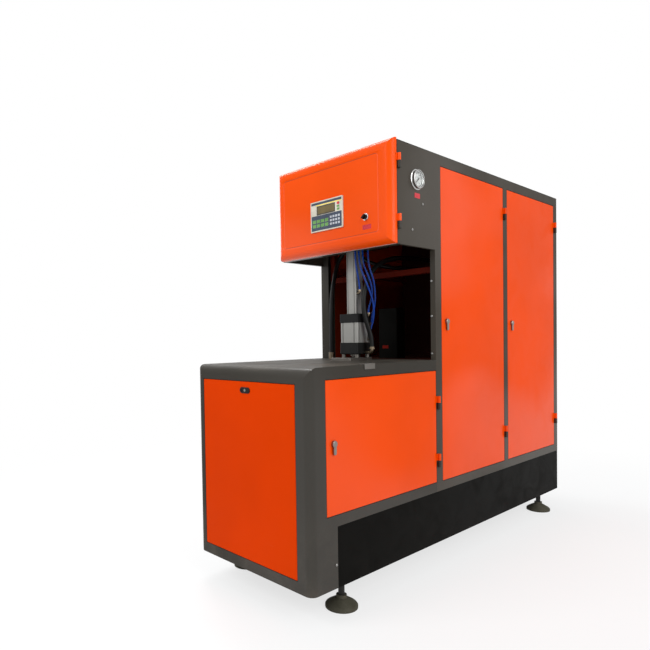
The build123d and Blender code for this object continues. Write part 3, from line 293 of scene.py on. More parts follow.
# %% Moulded surface as a shared group
moulded, moulded_in, moulded_out = new_group(
    "moulded_surface",
    {"Colour": (0.1, 0.1, 0.1, 1.0), "Gloss Loss": 0.5, "Grain": 300.0, "Dust": 0.3},
    {"Colour": "Color", "Roughness": "Float", "Height": "Float"},
)
DUSTY_PLASTIC = srgb(140, 133, 122)
grain_size = moulded_in.outputs["Grain"]
moulded_place = object_place(moulded)
moulded_grain = noise(moulded, moulded_place, scale=grain_size, detail=3.0, rough=0.55)
moulded_cloud = noise(moulded, moulded_place, scale=18.0, detail=4.0, rough=0.55, twist=0.2)
moulded_value = ramp(moulded, moulded_cloud, low=0.3, high=0.7, start=0.86, end=1.14)
moulded_shade = add(
    moulded, "ShaderNodeHueSaturation",
    {"Color": moulded_in.outputs["Colour"], "Value": moulded_value},
).outputs["Color"]
moulded_colour = blend(moulded, dust_on(moulded, moulded_in), moulded_shade, DUSTY_PLASTIC)
moulded_gloss = ramp(moulded, moulded_cloud, low=0.3, high=0.7, start=-0.06, end=0.08)
moulded_rough = maths(moulded, "ADD", moulded_in.outputs["Gloss Loss"], moulded_gloss)
hand_out(moulded, moulded_out, {
    "Colour": moulded_colour, "Roughness": moulded_rough, "Height": moulded_grain,
})

# %% [markdown]
# A finish joins one group to a Principled shader. The Bump node turns height in metres into
# a tilt of the surface, and the Bevel node rounds sharp sheet edges by a hair, so that they
# catch light as folded metal does. Rounding the meshes would do it too, at the price of
# many more faces.

# %% Finish from a shared group
def finish(name, group, colour, relief, edge=0.0, fixed=None, **values):
    """Material from a shared group: relief is the bump's depth in metres, edge the rounding
    radius, fixed the shader's own plain numbers, values what the group's inputs get."""
    material = bpy.data.materials.new(name)
    material.use_nodes = True
    tree = material.node_tree
    shader = tree.nodes["Principled BSDF"]
    inputs = {label.replace("_", " "): value for label, value in values.items()}
    surface = add(tree, "ShaderNodeGroup", {"Colour": colour, **inputs}, node_tree=group)
    tree.links.new(surface.outputs["Colour"], shader.inputs["Base Color"])
    tree.links.new(surface.outputs["Roughness"], shader.inputs["Roughness"])
    if "Lacquer" in values:
        tree.links.new(surface.outputs["Coat"], shader.inputs["Coat Weight"])
    height = {"Height": surface.outputs["Height"], "Strength": 1.0, "Distance": relief}
    bump = add(tree, "ShaderNodeBump", height)
    if edge:
        rounding = add(tree, "ShaderNodeBevel", {"Radius": edge}, samples=4)
        tree.links.new(rounding.outputs["Normal"], bump.inputs["Normal"])
    tree.links.new(bump.outputs["Normal"], shader.inputs["Normal"])
    for label, value in (fixed or {}).items():
        shader.inputs[label].default_value = value
    return material


from_cad = len(bpy.data.materials)
print("CAD materials:", from_cad)

# %% [markdown]
# The doors and the frame are painted orange and warm grey under a clear lacquer, of which
# the control door has most. What lies in shade inside the bay is nearly dull, and its dark
# colours are painted shade. The front panel's deeper orange is painted shade too, and the
# lighter grey of the head and the right side frame is painted light. Apart from that,
# sprayings differ, so each large part has its own.

# %% Painted finishes
FOLD, THIN_FOLD = 0.0015, 0.0012  # rounding of folded sheet, in metres
DULL = {"Specular IOR Level": 0.05}
LACQUERED = {"Specular IOR Level": 0.04, "Coat Roughness": 0.2}
GLOSSY = {"Specular IOR Level": 0.05, "Coat Roughness": 0.2, "Coat IOR": 1.4}
ORANGE_PAINT = srgb(232, 72, 0)
ORANGE_SHEET = {"relief": 0.0010, "edge": FOLD, "fixed": LACQUERED, "Lacquer": 0.16,
                "Gloss_Loss": 0.4, "Scuffs": 0.05, "Dust": 0.02}
GREY_SHEET = {"relief": 0.0009, "edge": FOLD, "fixed": LACQUERED, "Lacquer": 0.16,
              "Gloss_Loss": 0.48, "Scuffs": 0.08}
ORANGE = finish("orange_enamel", enamel, ORANGE_PAINT, **ORANGE_SHEET)
HEAD_ORANGE = finish("glossy_orange_enamel", enamel, srgb(238, 78, 2), relief=0.0006, edge=FOLD,
                     fixed=GLOSSY, Lacquer=0.34, Gloss_Loss=0.4, Scuffs=0.04, Dust=0.02)
# The front panel's deeper orange is the orange paint darkened: painted shade, as it faces away
# from the main light.
FRONT_ORANGE_PAINTED_SHADE = finish("orange_enamel_front_painted_shade", enamel, srgb(210, 58, 0), relief=0.0010, edge=FOLD,
                     fixed={"Specular IOR Level": 0.015}, Gloss_Loss=0.46, Scuffs=0.05, Dust=0.01)
# Its dust is heavier, so that faces looking up, such as the table top, are paler: partly dust,
# partly painted light from above.
GREY = finish("grey_enamel", enamel, srgb(56, 53, 48), **GREY_SHEET, Dust=0.2)
# The head and the right side frame get a lighter grey than the rest of the frame: painted light,
# as they catch more of the light.
HEAD_GREY_PAINTED_LIGHT = finish("grey_enamel_painted_light", enamel, srgb(66, 61, 54), **GREY_SHEET, Dust=0.08)
# The bay's frame is the orange paint made dark red-brown: painted shade.
BAY_ORANGE_PAINTED_SHADE = finish("shaded_orange_enamel", enamel, srgb(84, 20, 8), relief=0.0010, edge=FOLD,
                    fixed=DULL, Gloss_Loss=0.5, Scuffs=0.05, Dust=0.01)
BLACK_ENAMEL = finish("black_enamel", enamel, srgb(5, 4, 2), relief=0.0008, edge=THIN_FOLD,
                      fixed=DULL, Gloss_Loss=0.55, Scuffs=0.04, Dust=0.01)
# The partition and the deck in the bay are orange paint made dark reddish brown: painted shade.
BAY_INSIDE_PAINTED_SHADE = finish("inner_enamel_painted_shade", enamel, srgb(48, 17, 10), relief=0.0008,
                     edge=THIN_FOLD, fixed=DULL, Gloss_Loss=0.5, Scuffs=0.1, Dust=0.05)
print("painted finishes:", len(bpy.data.materials) - from_cad)

# %% [markdown]
# One steel could do for all bare metal, but metals differ in how polished they are. Chrome
# mirrors the room, satin chrome blurs it, and ground steel shows the grinder's marks.
# Anodised alloy has a thin oxide on top, so it is only half metallic, and black not at all.

# %% Metal finishes
METAL = {"Metallic": 1.0}
ZINC = finish("zinc_plate", metal, srgb(150, 149, 147), relief=0.00004, edge=0.0006,
              fixed=METAL, Gloss_Loss=0.28, Stain=0.3, Dust=0.1)
CHROME = finish("polished_chrome", metal, srgb(222, 222, 224), relief=0.00002, edge=0.0005,
                fixed=METAL, Gloss_Loss=0.1, Stain=0.12, Dust=0.05)
GAUGE_CHROME = finish("gauge_chrome", metal, srgb(182, 181, 179), relief=0.00002, edge=0.0005,
                      fixed=METAL, Gloss_Loss=0.16, Stain=0.2, Dust=0.05)
SATIN = finish("satin_chrome", metal, srgb(140, 134, 129), relief=0.00003, edge=0.0006,
               fixed=METAL, Gloss_Loss=0.32, Stain=0.25, Dust=0.05)
DULL_STEEL = finish("dull_steel", metal, srgb(112, 108, 103), relief=0.00006, edge=0.0008,
                    fixed=METAL, Gloss_Loss=0.42, Stain=0.5, Dust=0.1)
STEEL = finish("ground_steel", metal, srgb(150, 150, 150), relief=0.00006, edge=0.0008,
               fixed=METAL, Gloss_Loss=0.34, Stain=0.45, Dust=0.2)
# The levelling studs stand in shade under the machine, so their steel is made near black: painted
# shade.
STUD_STEEL_PAINTED_SHADE = finish("steel_painted_shade", metal, srgb(16, 15, 14), relief=0.00006, edge=0.0006,
                     fixed={"Specular IOR Level": 0.25}, Gloss_Loss=0.45, Stain=0.2, Dust=0.1)
ALLOY = finish("anodised_alloy", metal, srgb(148, 147, 143), relief=0.00003, edge=0.0008,
               fixed={"Metallic": 0.55}, Gloss_Loss=0.5, Stain=0.12, Dust=0.05)
BLACK_ALLOY = finish("black_anodised_alloy", metal, srgb(13, 13, 13), relief=0.00003, edge=0.001,
                     fixed={"Specular IOR Level": 0.2}, Gloss_Loss=0.5, Stain=0.06, Dust=0.1)
NICKEL = finish("worn_nickel_plate", metal, srgb(128, 114, 96), relief=0.00003, edge=0.0006,
                fixed=METAL, Gloss_Loss=0.3, Stain=0.5, Dust=0.1)
print("painted and metal finishes:", len(bpy.data.materials) - from_cad)

# %% [markdown]
# The hoses are matt black rubber, the air tubes have a soft shine, and the knob, the lock's
# case and the panel's frame are moulded. Only moulded and cast parts have edges to round.
# The dark ones would look grey with the usual strong reflection, so theirs is low.

# %% Rubber and plastic finishes
RUBBER = finish("hose_rubber", moulded, srgb(14, 14, 13), relief=0.00012,
                fixed={"Specular IOR Level": 0.22}, Gloss_Loss=0.45, Grain=700.0, Dust=0.12)
FOAM = finish("seal_foam", moulded, srgb(205, 203, 196), relief=0.0003,
              Gloss_Loss=0.8, Grain=900.0, Dust=0.2)
BLUE_TUBE = finish("blue_air_tube", moulded, srgb(2, 54, 142), relief=0.00004,
                   fixed={"Specular IOR Level": 0.3}, Gloss_Loss=0.25, Grain=250.0, Dust=0.04)
PALE_PLASTIC = finish("pale_moulding", moulded, srgb(206, 200, 184), relief=0.00004, edge=0.0006,
                      Gloss_Loss=0.45, Grain=800.0, Dust=0.1)
BLACK_PLASTIC = finish("black_moulding", moulded, srgb(15, 14, 14), relief=0.00004, edge=0.0008,
                       fixed={"Specular IOR Level": 0.2}, Gloss_Loss=0.4, Grain=800.0, Dust=0.05)
PAD = finish("pad_casting", moulded, srgb(72, 70, 58), relief=0.0003, edge=0.001,
             fixed=DULL, Gloss_Loss=0.6, Grain=260.0, Dust=0.45)
print("finishes so far:", len(bpy.data.materials) - from_cad)

# %% [markdown]
# The face of the control door is pressed in by a few millimetres. Where its slope meets the
# flat field there is a fine crease, too fine to model. It follows a rounded rectangle: with
# p the point's distance from the middle on each axis, h the half size and r the corner
# radius, the distance to the line is the length of max(p - h + r, 0), less r. Near zero lies
# the crease. Its colour there is painted darker above and below and paler at the sides:
# painted shade and painted highlight, as the light falls.

# %% Crease in the control door
def crease(material, low, high, radius, width, depth):
    """Sunk line along a rounded rectangle in x and z, with painted shade above and below and
    painted highlight at the sides.
    """
    tree = material.node_tree
    shader = tree.nodes["Principled BSDF"]
    any_depth = 10  # metres, so that y never counts
    middle = ((low[0] + high[0]) / 2, 0, (low[1] + high[1]) / 2)
    half = ((high[0] - low[0]) / 2 - radius, any_depth, (high[1] - low[1]) / 2 - radius)
    outside = object_place(tree)
    zero = (0, 0, 0)
    steps = [("SUBTRACT", middle), ("ABSOLUTE", zero), ("SUBTRACT", half), ("MAXIMUM", zero)]
    for operation, other in steps:
        inputs = {0: outside, 1: other}
        node = add(tree, "ShaderNodeVectorMath", inputs, operation=operation)
        outside = node.outputs["Vector"]
    length = add(tree, "ShaderNodeVectorMath", {0: outside}, operation="LENGTH").outputs["Value"]
    away = maths(tree, "ABSOLUTE", maths(tree, "SUBTRACT", length, radius))
    mask = ramp(tree, away, low=width * 0.4, high=width, start=1.0, end=0.0)
    colour = shader.inputs["Base Color"].links[0].from_socket
    # Painted shade above and below the crease and painted highlight at its sides, by the x of its
    # direction.
    sideways = maths(tree, "DIVIDE", axis(tree, outside, "X"), length)
    crease_painted_light = ramp(tree, sideways, low=0.3, high=0.9, start=0.62, end=1.08)
    inputs = {"Color": colour, "Value": crease_painted_light, "Saturation": 0.96}
    crease_painted_light_colour = add(tree, "ShaderNodeHueSaturation", inputs).outputs["Color"]
    tree.links.new(blend(tree, mask, colour, crease_painted_light_colour), shader.inputs["Base Color"])
    under = shader.inputs["Normal"].links[0].from_socket
    inputs = {"Height": mask, "Strength": 1.0, "Distance": depth, "Normal": under}
    sunk = add(tree, "ShaderNodeBump", inputs, invert=True)
    tree.links.new(sunk.outputs["Normal"], shader.inputs["Normal"])


crease(HEAD_ORANGE, low=(-0.280, 1.422), high=(0.257, 1.733), radius=0.014, width=0.0022,
       depth=0.0006)
print("nodes of the control door:", len(HEAD_ORANGE.node_tree.nodes))

# %% [markdown]
# The left panel is orange outside. On the face that looks into the bay, its shade is painted
# into the colour: nearly black below the wall rail and a little redder above it. Its faces
# could be sorted into two materials, but then each CAD mesh would no longer have just one.
# So one material knows both faces: the x of the normal tells inside from outside, and the
# height tells above from below.

# %% Painted shade inside the left panel
PANEL_ORANGE = finish("orange_enamel_painted_shade_inside", enamel, ORANGE_PAINT, **ORANGE_SHEET)
# Near black inside below the wall rail, a little redder above: painted shade.
PANEL_PAINTED_SHADE_COLOUR = srgb(14, 5, 4)
panel_tree = PANEL_ORANGE.node_tree
panel_base = panel_tree.nodes["Principled BSDF"].inputs["Base Color"]
panel_colour = panel_base.links[0].from_socket
panel_normal = add(panel_tree, "ShaderNodeNewGeometry").outputs["Normal"]
panel_inside = ramp(panel_tree, axis(panel_tree, panel_normal, "X"), low=0.3, high=0.8)
panel_height = axis(panel_tree, object_place(panel_tree), "Z")
panel_share = ramp(panel_tree, panel_height, low=1.28, high=1.36, start=0.82, end=0.45)
panel_painted_shade = maths(panel_tree, "MULTIPLY", panel_inside, panel_share)
panel_tree.links.new(blend(panel_tree, panel_painted_shade, panel_colour, PANEL_PAINTED_SHADE_COLOUR), panel_base)
print("nodes of the left panel:", len(panel_tree.nodes))

# %% [markdown]
# The gauge's window is a disc of clear glass. It could be left out, but then the dial would
# lack its highlights. A plain Principled shader that lets light through is enough.

# %% Clear glass
GLASS = bpy.data.materials.new("gauge_window_glass")
GLASS.use_nodes = True
glass_shader = GLASS.node_tree.nodes["Principled BSDF"]
clear = {"Base Color": (0.97, 0.99, 0.99, 1.0), "Roughness": 0.03, "IOR": 1.45,
         "Transmission Weight": 1.0}
for label, value in clear.items():
    glass_shader.inputs[label].default_value = value
print("glass numbers:", len(clear))

# %% [markdown]
# Each CAD part keeps its own mesh. Joined parts could no longer move, so only their
# material slots are filled. A table says which finish goes on which parts.

# %% Dress the CAD parts
DRESS = {
    "painted orange": (ORANGE, "lower_side_door tall_door_front tall_door_rear"),
    "painted orange, shade painted inside": (PANEL_ORANGE, "left_side_panel"),
    "glossy orange": (HEAD_ORANGE, "control_door"),
    "painted orange, front painted shade": (FRONT_ORANGE_PAINTED_SHADE, "front_panel"),
    "painted orange, shade painted in the bay": (BAY_ORANGE_PAINTED_SHADE, "bay_frame"),
    "painted grey": (GREY, "front_cabinet_shell left_side_frame roof_panel rear_cover"
                           " hinge_sockets"),
    "painted grey, painted light": (HEAD_GREY_PAINTED_LIGHT, "head_housing right_side_frame"),
    "painted black": (BLACK_ENAMEL, "base_frame kick_panel valve_box"),
    "painted shade inside": (BAY_INSIDE_PAINTED_SHADE, "partition inner_deck"),
    "zinc": (ZINC, "front_lock_plug panel_screws"),
    "steel with painted shade": (STUD_STEEL_PAINTED_SHADE, "foot_studs"),
    "chrome": (CHROME, "selector_collar stretch_rod tie_bars"),
    "gauge chrome": (GAUGE_CHROME, "gauge_case"),
    "satin chrome": (SATIN, "lower_door_lock front_door_lock rear_door_lock"),
    "dull steel": (DULL_STEEL, "neck_plate seal_nozzle edge_catch"),
    "steel": (STEEL, "clamp_end_front clamp_end_rear platen_front platen_rear"),
    "alloy": (ALLOY, "stretch_cylinder seal_cylinder mould_front mould_rear"),
    "black alloy": (BLACK_ALLOY, "adapter_plate blow_base air_manifold"),
    "nickel": (NICKEL, "hose_fittings"),
    "pale plastic": (PALE_PLASTIC, "operator_panel valve_bank electrical_board"),
    "black plastic": (BLACK_PLASTIC, "front_lock_case selector_knob gauge_needle"),
    "glass": (GLASS, "gauge_glass"),
    "pads": (PAD, "foot_pads"),
    "foam": (FOAM, "control_door_seal"),
}
for material, names in DRESS.values():
    for name in names.split():
        mesh = parts[name].data
        mesh.materials.clear()
        mesh.materials.append(material)
dressed = sum(len(names.split()) for _, names in DRESS.values())
print("kinds of finish:", len(DRESS), "on parts:", dressed)

# %% [markdown]
# What this file adds are new pieces. Each one needs an object, a material, the body it
# rides on and the slot that can be recoloured later, so one helper does all four.

# %% A new piece
scene_objects = bpy.context.scene.collection.objects


def new_piece(name, data, material, body):
    """Object for a mesh or curve whose points already lie at their true places."""
    data.materials.clear()
    data.materials.append(material)
    piece = bpy.data.objects.new(name, data)
    scene_objects.link(piece)
    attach(piece, body)
    return piece


# %% [markdown]
# Three black hoses carry air to and from the blowing gear. A chain of cylinders would show
# its joints, so each is a real curve: an open NURBS line with the control points of its CAD
# node and a round bevel for its thickness. An order of three keeps the line inside its
# control polygon, so it bends where the CAD does.

# %% Hoses
MM = 1000  # millimetres in a metre


def hose(name, node, points, radius, material):
    """Tube along a curve: the points are in millimetres, as in the CAD source."""
    curve = bpy.data.curves.new(name, "CURVE")
    curve.dimensions = "3D"
    curve.bevel_depth = radius / MM
    curve.bevel_resolution = 5
    curve.resolution_u = 10
    curve.use_fill_caps = True
    line = curve.splines.new("NURBS")
    line.points.add(len(points) - 1)
    places = np.ones((len(points), 4))
    places[:, :3] = np.array(points) / MM
    line.points.foreach_set("co", places.ravel())
    line.order_u = 3
    line.use_endpoint_u = True
    piece = new_piece(name, curve, material, "machine")
    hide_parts(node)
    return piece


BLOW_HOSE = [(84, -372, 958), (84, -372, 992), (76, -384, 1040), (67, -398, 1092),
             (62, -401, 1152), (61, -388, 1215), (62, -352, 1283), (66, -297, 1330),
             (72, -222, 1360), (80, -118, 1374), (86, 40, 1378), (88, 220, 1374),
             (88, 376, 1374)]
LEFT_HOSE = [(-142, -215, 1432), (-168, -215, 1432), (-195, -218, 1423), (-217, -224, 1402),
             (-228, -233, 1370), (-230, -246, 1330), (-227, -264, 1280), (-222, -284, 1220),
             (-217, -297, 1150), (-214, -303, 1075), (-212, -306, 1000), (-212, -306, 930)]
RETURN_HOSE = [(-104, -213, 1397), (-84, -211, 1382), (-58, -207, 1366), (-30, -197, 1351),
               (0, -180, 1339), (28, -150, 1330), (47, -98, 1328), (59, -10, 1334),
               (64, 120, 1338), (60, 260, 1336), (60, 376, 1336)]
hoses = [
    hose("blow_hose_rubber", "blow_hose", BLOW_HOSE, 11, RUBBER),
    hose("left_hose_rubber", "left_hose", LEFT_HOSE, 10, RUBBER),
    hose("return_hose_rubber", "return_hose", RETURN_HOSE, 8, RUBBER),
]
print("hoses:", [piece.name for piece in hoses])

# %% [markdown]
# Four blue tubes carry air from the head to push-in fittings on the cylinders. They could be
# swept meshes, but curves stay smooth at any distance, so they are made as the hoses are,
# only thinner and softer.

# %% Blue air tubes
TUBE_SEAL_LOW = [(60, -352, 1006), (60, -352, 1032), (77, -349, 1078), (86, -355, 1135),
                 (84, -377, 1198), (73, -404, 1262), (56, -421, 1326), (56, -421, 1385)]
TUBE_SEAL_HIGH = [(60, -341, 1066), (60, -341, 1092), (77, -337, 1142), (85, -345, 1205),
                  (85, -357, 1262), (76, -382, 1323), (76, -382, 1385)]
TUBE_ADAPTER = [(60, -362, 1111), (60, -362, 1133), (78, -359, 1175), (84, -366, 1225),
                (78, -385, 1275), (62, -403, 1331), (62, -403, 1385)]
TUBE_STRETCH = [(40, -398, 1214), (40, -398, 1238), (46, -418, 1280), (44, -431, 1334),
                (44, -431, 1385)]
TUBE_RADIUS = 4
TUBES = {
    "tube_seal_low": (TUBE_SEAL_LOW, 0.396),
    "tube_seal_high": (TUBE_SEAL_HIGH, 0.328),
    "tube_adapter": (TUBE_ADAPTER, 0.286),
    "tube_stretch": (TUBE_STRETCH, 0.177),
}
for node, (points, length) in TUBES.items():
    hose("blue_" + node, node, points, TUBE_RADIUS, BLUE_TUBE)
print("air tubes:", len(TUBES))

# %% [markdown]
# Thin plates, key caps and dials are flat shapes with a little thickness. Each could be a
# cube with rounded edges. Here an outline in two measures, u and v, is carried along a
# third. Worked out as arrays, it needs no loop over points, and any outline will do.

# %% Flat shapes from outlines
AXES = {
    "front": (Vector((1, 0, 0)), Vector((0, 0, 1)), Vector((0, -1, 0))),
    "right": (Vector((0, 1, 0)), Vector((0, 0, 1)), Vector((1, 0, 0))),
}


def flat_shapes(name, outlines, origin, side, thickness, material, body):
    """One piece from several outlines in millimetres: points origin + u * across +
    v * upwards, then the same points + thickness * out; a front, a back and a wall of quads."""
    across, upwards, out = (np.array(direction) for direction in AXES[side])
    vertices, faces, start = [], [], 0
    for outline in outlines:
        flat = origin + outline[:, :1] * across + outline[:, 1:] * upwards
        count = len(outline)
        vertices.append(np.concatenate([flat, flat + out * thickness]))
        ring = np.arange(count)
        after = np.roll(ring, -1)
        wall = np.stack([ring, after, after + count, ring + count], axis=1)
        faces.append((start + ring[::-1]).tolist())
        faces.append((start + count + ring).tolist())
        faces.extend((start + wall).tolist())
        start += 2 * count
    mesh = bpy.data.meshes.new(name)
    mesh.from_pydata((np.concatenate(vertices) / MM).tolist(), [], faces)
    return new_piece(name, mesh, material, body)


def rectangle(x, z, radius=0.8, steps=5):
    """Rounded rectangle between two values on each axis: corner centres plus radius times
    (cos a, sin a), with a turning once round."""
    width, height = x[1] - x[0], z[1] - z[0]
    angle = np.linspace(0, np.pi / 2, steps)
    turn = np.arange(4)[:, None] * np.pi / 2 + angle[None, :]
    signs = np.array([(1, 1), (-1, 1), (-1, -1), (1, -1)])
    corner = signs * (width / 2 - radius, height / 2 - radius)
    points = corner[:, None, :] + radius * np.stack([np.cos(turn), np.sin(turn)], axis=-1)
    return points.reshape(-1, 2) + (sum(x) / 2, sum(z) / 2)


print("points on a rounded rectangle:", len(rectangle((0, 10), (0, 5))))

# %% [markdown]
# A printed film has an even colour and next to no relief. Each could be a finish in full,
# but prints, caps and dials share nearly all numbers. So a helper holds them, and each film
# names only what differs.

# %% Printed films
def print_finish(name, colour, gloss_loss=0.35, dust=0.05, relief=0.00002, fixed=None):
    """Film or cap with a fine even grain."""
    return finish(name, moulded, colour, relief=relief, fixed=fixed,
                  Gloss_Loss=gloss_loss, Grain=900.0, Dust=dust)


NAVY = print_finish("navy_print", srgb(46, 58, 78))
YELLOW = print_finish("yellow_print", srgb(240, 214, 110))
KEY_GREEN = print_finish("green_key", srgb(96, 148, 74))
KEY_WHITE = print_finish("white_key", srgb(190, 194, 202))
SIGNAL_RED = print_finish("red_film", srgb(196, 24, 42), gloss_loss=0.3)
# A darker red film for the plate on the valve box.
DIM_RED = print_finish("dark_red_film", srgb(112, 24, 16), gloss_loss=0.6, dust=0.02, fixed=DULL)
DISPLAY = print_finish("display_film", srgb(102, 86, 46), gloss_loss=0.14, dust=0.02,
                       relief=0.00001)
DISPLAY_EDGE = print_finish("display_surround", srgb(48, 46, 38), gloss_loss=0.25, dust=0.02,
                            relief=0.00001)
DIAL_WHITE = print_finish("dial_white", srgb(232, 232, 228), gloss_loss=0.4, dust=0.03,
                          relief=0.00001)
DIAL_BLACK = print_finish("dial_print", srgb(24, 24, 26), gloss_loss=0.45, dust=0.02,
                          relief=0.00001)
print("finishes in all:", len(bpy.data.materials) - from_cad)

# %% [markdown]
# The operator panel is a printed film over pressed keys, with a small display behind a
# window. The CAD part has the frame, the sunk film and the raised keys. A picture could
# supply the print, but it would blur close up. So each field and each key cap is a thin
# shape of its own, measured from the panel's lower left corner, and there are no words.

# %% Outlines on the operator panel
panel_low, panel_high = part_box("operator_panel")
panel_left, panel_bottom, panel_front = panel_low.x * MM, panel_low.z * MM, panel_low.y * MM


def on_panel(x, z, radius=0.8):
    """Rounded rectangle, measured from the panel's lower left corner."""
    return rectangle((panel_left + x[0], panel_left + x[1]),
                     (panel_bottom + z[0], panel_bottom + z[1]), radius)


def key_grid(columns, rows, corner, size, step, radius):
    """Keys from the top left one: the corner plus the column's and less the row's steps."""
    lefts = corner[0] + step[0] * np.tile(np.arange(columns), rows)
    lows = corner[1] - step[1] * np.repeat(np.arange(rows), columns)
    return [on_panel((x, x + size[0]), (z, z + size[1]), radius) for x, z in zip(lefts, lows)]


green_keys = key_grid(columns=4, rows=2, corner=(12, 38), size=(19, 14), step=(24, 19), radius=2)
white_keys = key_grid(columns=4, rows=3, corner=(113, 49), size=(10, 9), step=(15, 15),
                      radius=1.5)
side_keys = [on_panel((152, 166), (76, 85), radius=2), on_panel((152, 166), (88, 97), radius=2)]
print("green, white and side keys:", len(green_keys), len(white_keys), len(side_keys))

# %% [markdown]
# The film is sunk behind the panel's frame, the keys stand nearly at its front, and the
# display lies deepest. Eight calls could say so, but a table is easier to read: each row
# gives a piece its outlines, its depth behind the frame's front and its thickness, in
# millimetres.

# %% Operator panel
PRINTS = [
    ("panel_navy_fields", [on_panel((5, 179), (118, 128)), on_panel((5, 179), (5, 70.5))],
     0.8, 0.1, NAVY),
    ("panel_yellow_stripe", [on_panel((32, 179), (112.6, 117.6), 0.4)], 0.8, 0.1, YELLOW),
    ("panel_green_keys", green_keys, 0.2, 0.12, KEY_GREEN),
    ("panel_white_keys", white_keys, 0.2, 0.12, KEY_WHITE),
    ("panel_side_keys", side_keys, 0.8, 0.5, KEY_GREEN),
    ("panel_stop_key", [on_panel((152, 167), (100, 111), 5)], 0.8, 0.5, SIGNAL_RED),
    ("panel_display_surround", [on_panel((35.5, 141.5), (72.5, 111.5), 1)],
     2.0, 0.2, DISPLAY_EDGE),
    ("panel_display", [on_panel((40, 137), (77, 107.5), 1)], 1.8, 0.2, DISPLAY),
]
for name, outlines, depth, thickness, material in PRINTS:
    flat_shapes(name, outlines, (0, panel_front + depth, 0), "front", thickness, material,
                "control_door")
print("prints on the panel:", len(PRINTS))

# %% [markdown]
# Small plates sit under the selector, under the gauge and on the valve box. On a real
# machine they are printed; here they stay plain. A plate could be a box, but the flat
# shape gives it round corners, and it starts on the face that carries it.

# %% Bare plates
PLATE_THICKNESS, PLATE_CORNER = 0.6, 1.5
CHEEK_FACE = 325  # x of the head's right side
door_face = panel_high.y * MM
valve_box_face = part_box("valve_box")[0].y * MM
PLATES = [
    ("selector_plate", (179, 222), (1439, 1457.5), (0, door_face, 0), "front", SIGNAL_RED,
     "control_door"),
    ("gauge_plate", (-395, -357), (1565, 1585), (CHEEK_FACE, 0, 0), "right", SIGNAL_RED,
     "machine"),
    ("valve_box_plate", (-32, 2), (945, 960), (0, valve_box_face, 0), "front", DIM_RED,
     "machine"),
]
for name, across, upwards, origin, side, material, body in PLATES:
    flat_shapes(name, [rectangle(across, upwards, PLATE_CORNER)], origin, side, PLATE_THICKNESS,
                material, body)
print("bare plates:", len(PLATES))

# %% [markdown]
# The gauge's dial is a white disc with a scale round three quarters of its edge. The scale
# could be a picture, but thin bars stay sharp at any distance. Each mark is a bar turned to
# its own angle: a rotation of one small outline, stacked into arrays.

# %% Gauge dial
DIAL_RADIUS, DIAL_THICKNESS, MARK_THICKNESS = 32.0, 0.15, 0.04
MARK_COUNT, LONG_EVERY = 51, 5
MARK_END = 25.8
LONG_MARK, SHORT_MARK = (22.0, 0.8), (23.4, 0.4)  # inner end and width
CASE_FLOOR = 332.0
dial_floor = CASE_FLOOR + 0.02
gauge_low, gauge_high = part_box("gauge_case")
gauge_y = (gauge_low.y + gauge_high.y) / 2 * MM
gauge_z = (gauge_low.z + gauge_high.z) / 2 * MM
turn = np.linspace(0, 2 * np.pi, 64, endpoint=False)
disc = DIAL_RADIUS * np.stack([np.cos(turn), np.sin(turn)], axis=1)
flat_shapes("gauge_dial", [disc], (dial_floor, gauge_y, gauge_z), "right", DIAL_THICKNESS,
            DIAL_WHITE, "machine")


def sweep(count):
    """Angles over three quarters of a turn, clockwise from the lower left."""
    return np.radians(np.linspace(225, -45, count))


def scale_mark(angle, near, width):
    """Bar from one radius to the marks' end, turned by an angle: each corner times a
    rotation matrix."""
    half = width / 2
    corners = np.array([(near, -half), (MARK_END, -half), (MARK_END, half), (near, half)])
    spin = np.array([(np.cos(angle), np.sin(angle)), (-np.sin(angle), np.cos(angle))])
    return corners @ spin


marks = [scale_mark(angle, *(SHORT_MARK if i % LONG_EVERY else LONG_MARK))
         for i, angle in enumerate(sweep(MARK_COUNT))]
flat_shapes("gauge_scale", marks, (dial_floor + DIAL_THICKNESS, gauge_y, gauge_z), "right",
            MARK_THICKNESS, DIAL_BLACK, "machine")
print("marks on the dial:", len(marks))

# %% [markdown]
# Six plain numbers, from 0 to 50, stand inside every second long mark. A text object could
# show them, but it isn't a mesh and can't ride with a part. So each one is turned into a
# mesh, and its points are carried to their place on the dial.

# %% Numbers on the dial
NUMBER_SIZE, NUMBER_RADIUS, NUMBER_DEPTH = 0.0046, 0.0184, 0.00002  # metres
NUMBER_LIFT = 0.17  # millimetres above the dial's floor


def dial_number(value, angle):
    """Plain number on the dial, made a mesh with its place in its vertices."""
    text = bpy.data.curves.new("dial_number", "FONT")
    text.body = str(value)
    text.size = NUMBER_SIZE
    text.align_x = "CENTER"
    text.align_y = "CENTER"
    text.extrude = NUMBER_DEPTH
    holder = bpy.data.objects.new("dial_number", text)
    scene_objects.link(holder)
    bpy.context.view_layer.update()
    shaped = holder.evaluated_get(bpy.context.evaluated_depsgraph_get())
    mesh = bpy.data.meshes.new_from_object(shaped)
    bpy.data.objects.remove(holder)
    across, upwards, out = AXES["right"]
    centre = Vector((dial_floor + NUMBER_LIFT, gauge_y, gauge_z)) / MM
    centre = centre + (across * math.cos(angle) + upwards * math.sin(angle)) * NUMBER_RADIUS
    facing = Matrix((across, upwards, out)).transposed().to_4x4()
    mesh.transform(Matrix.Translation(centre) @ facing)
    return new_piece(f"dial_number_{value}", mesh, DIAL_BLACK, "machine")


numbers = range(0, 51, 10)
for value, angle in zip(numbers, sweep(len(numbers))):
    dial_number(value, float(angle))
print("numbers on the dial:", list(numbers))

# %% [markdown]
# Between the dial and the window lies a bright dished ring. A torus would be too thick for
# it. It is a surface of revolution: a quarter wave in radius and height, closed along the
# case's wall, and turned once round the gauge's axis. The outer product of profile and turn
# gives all its points at once.

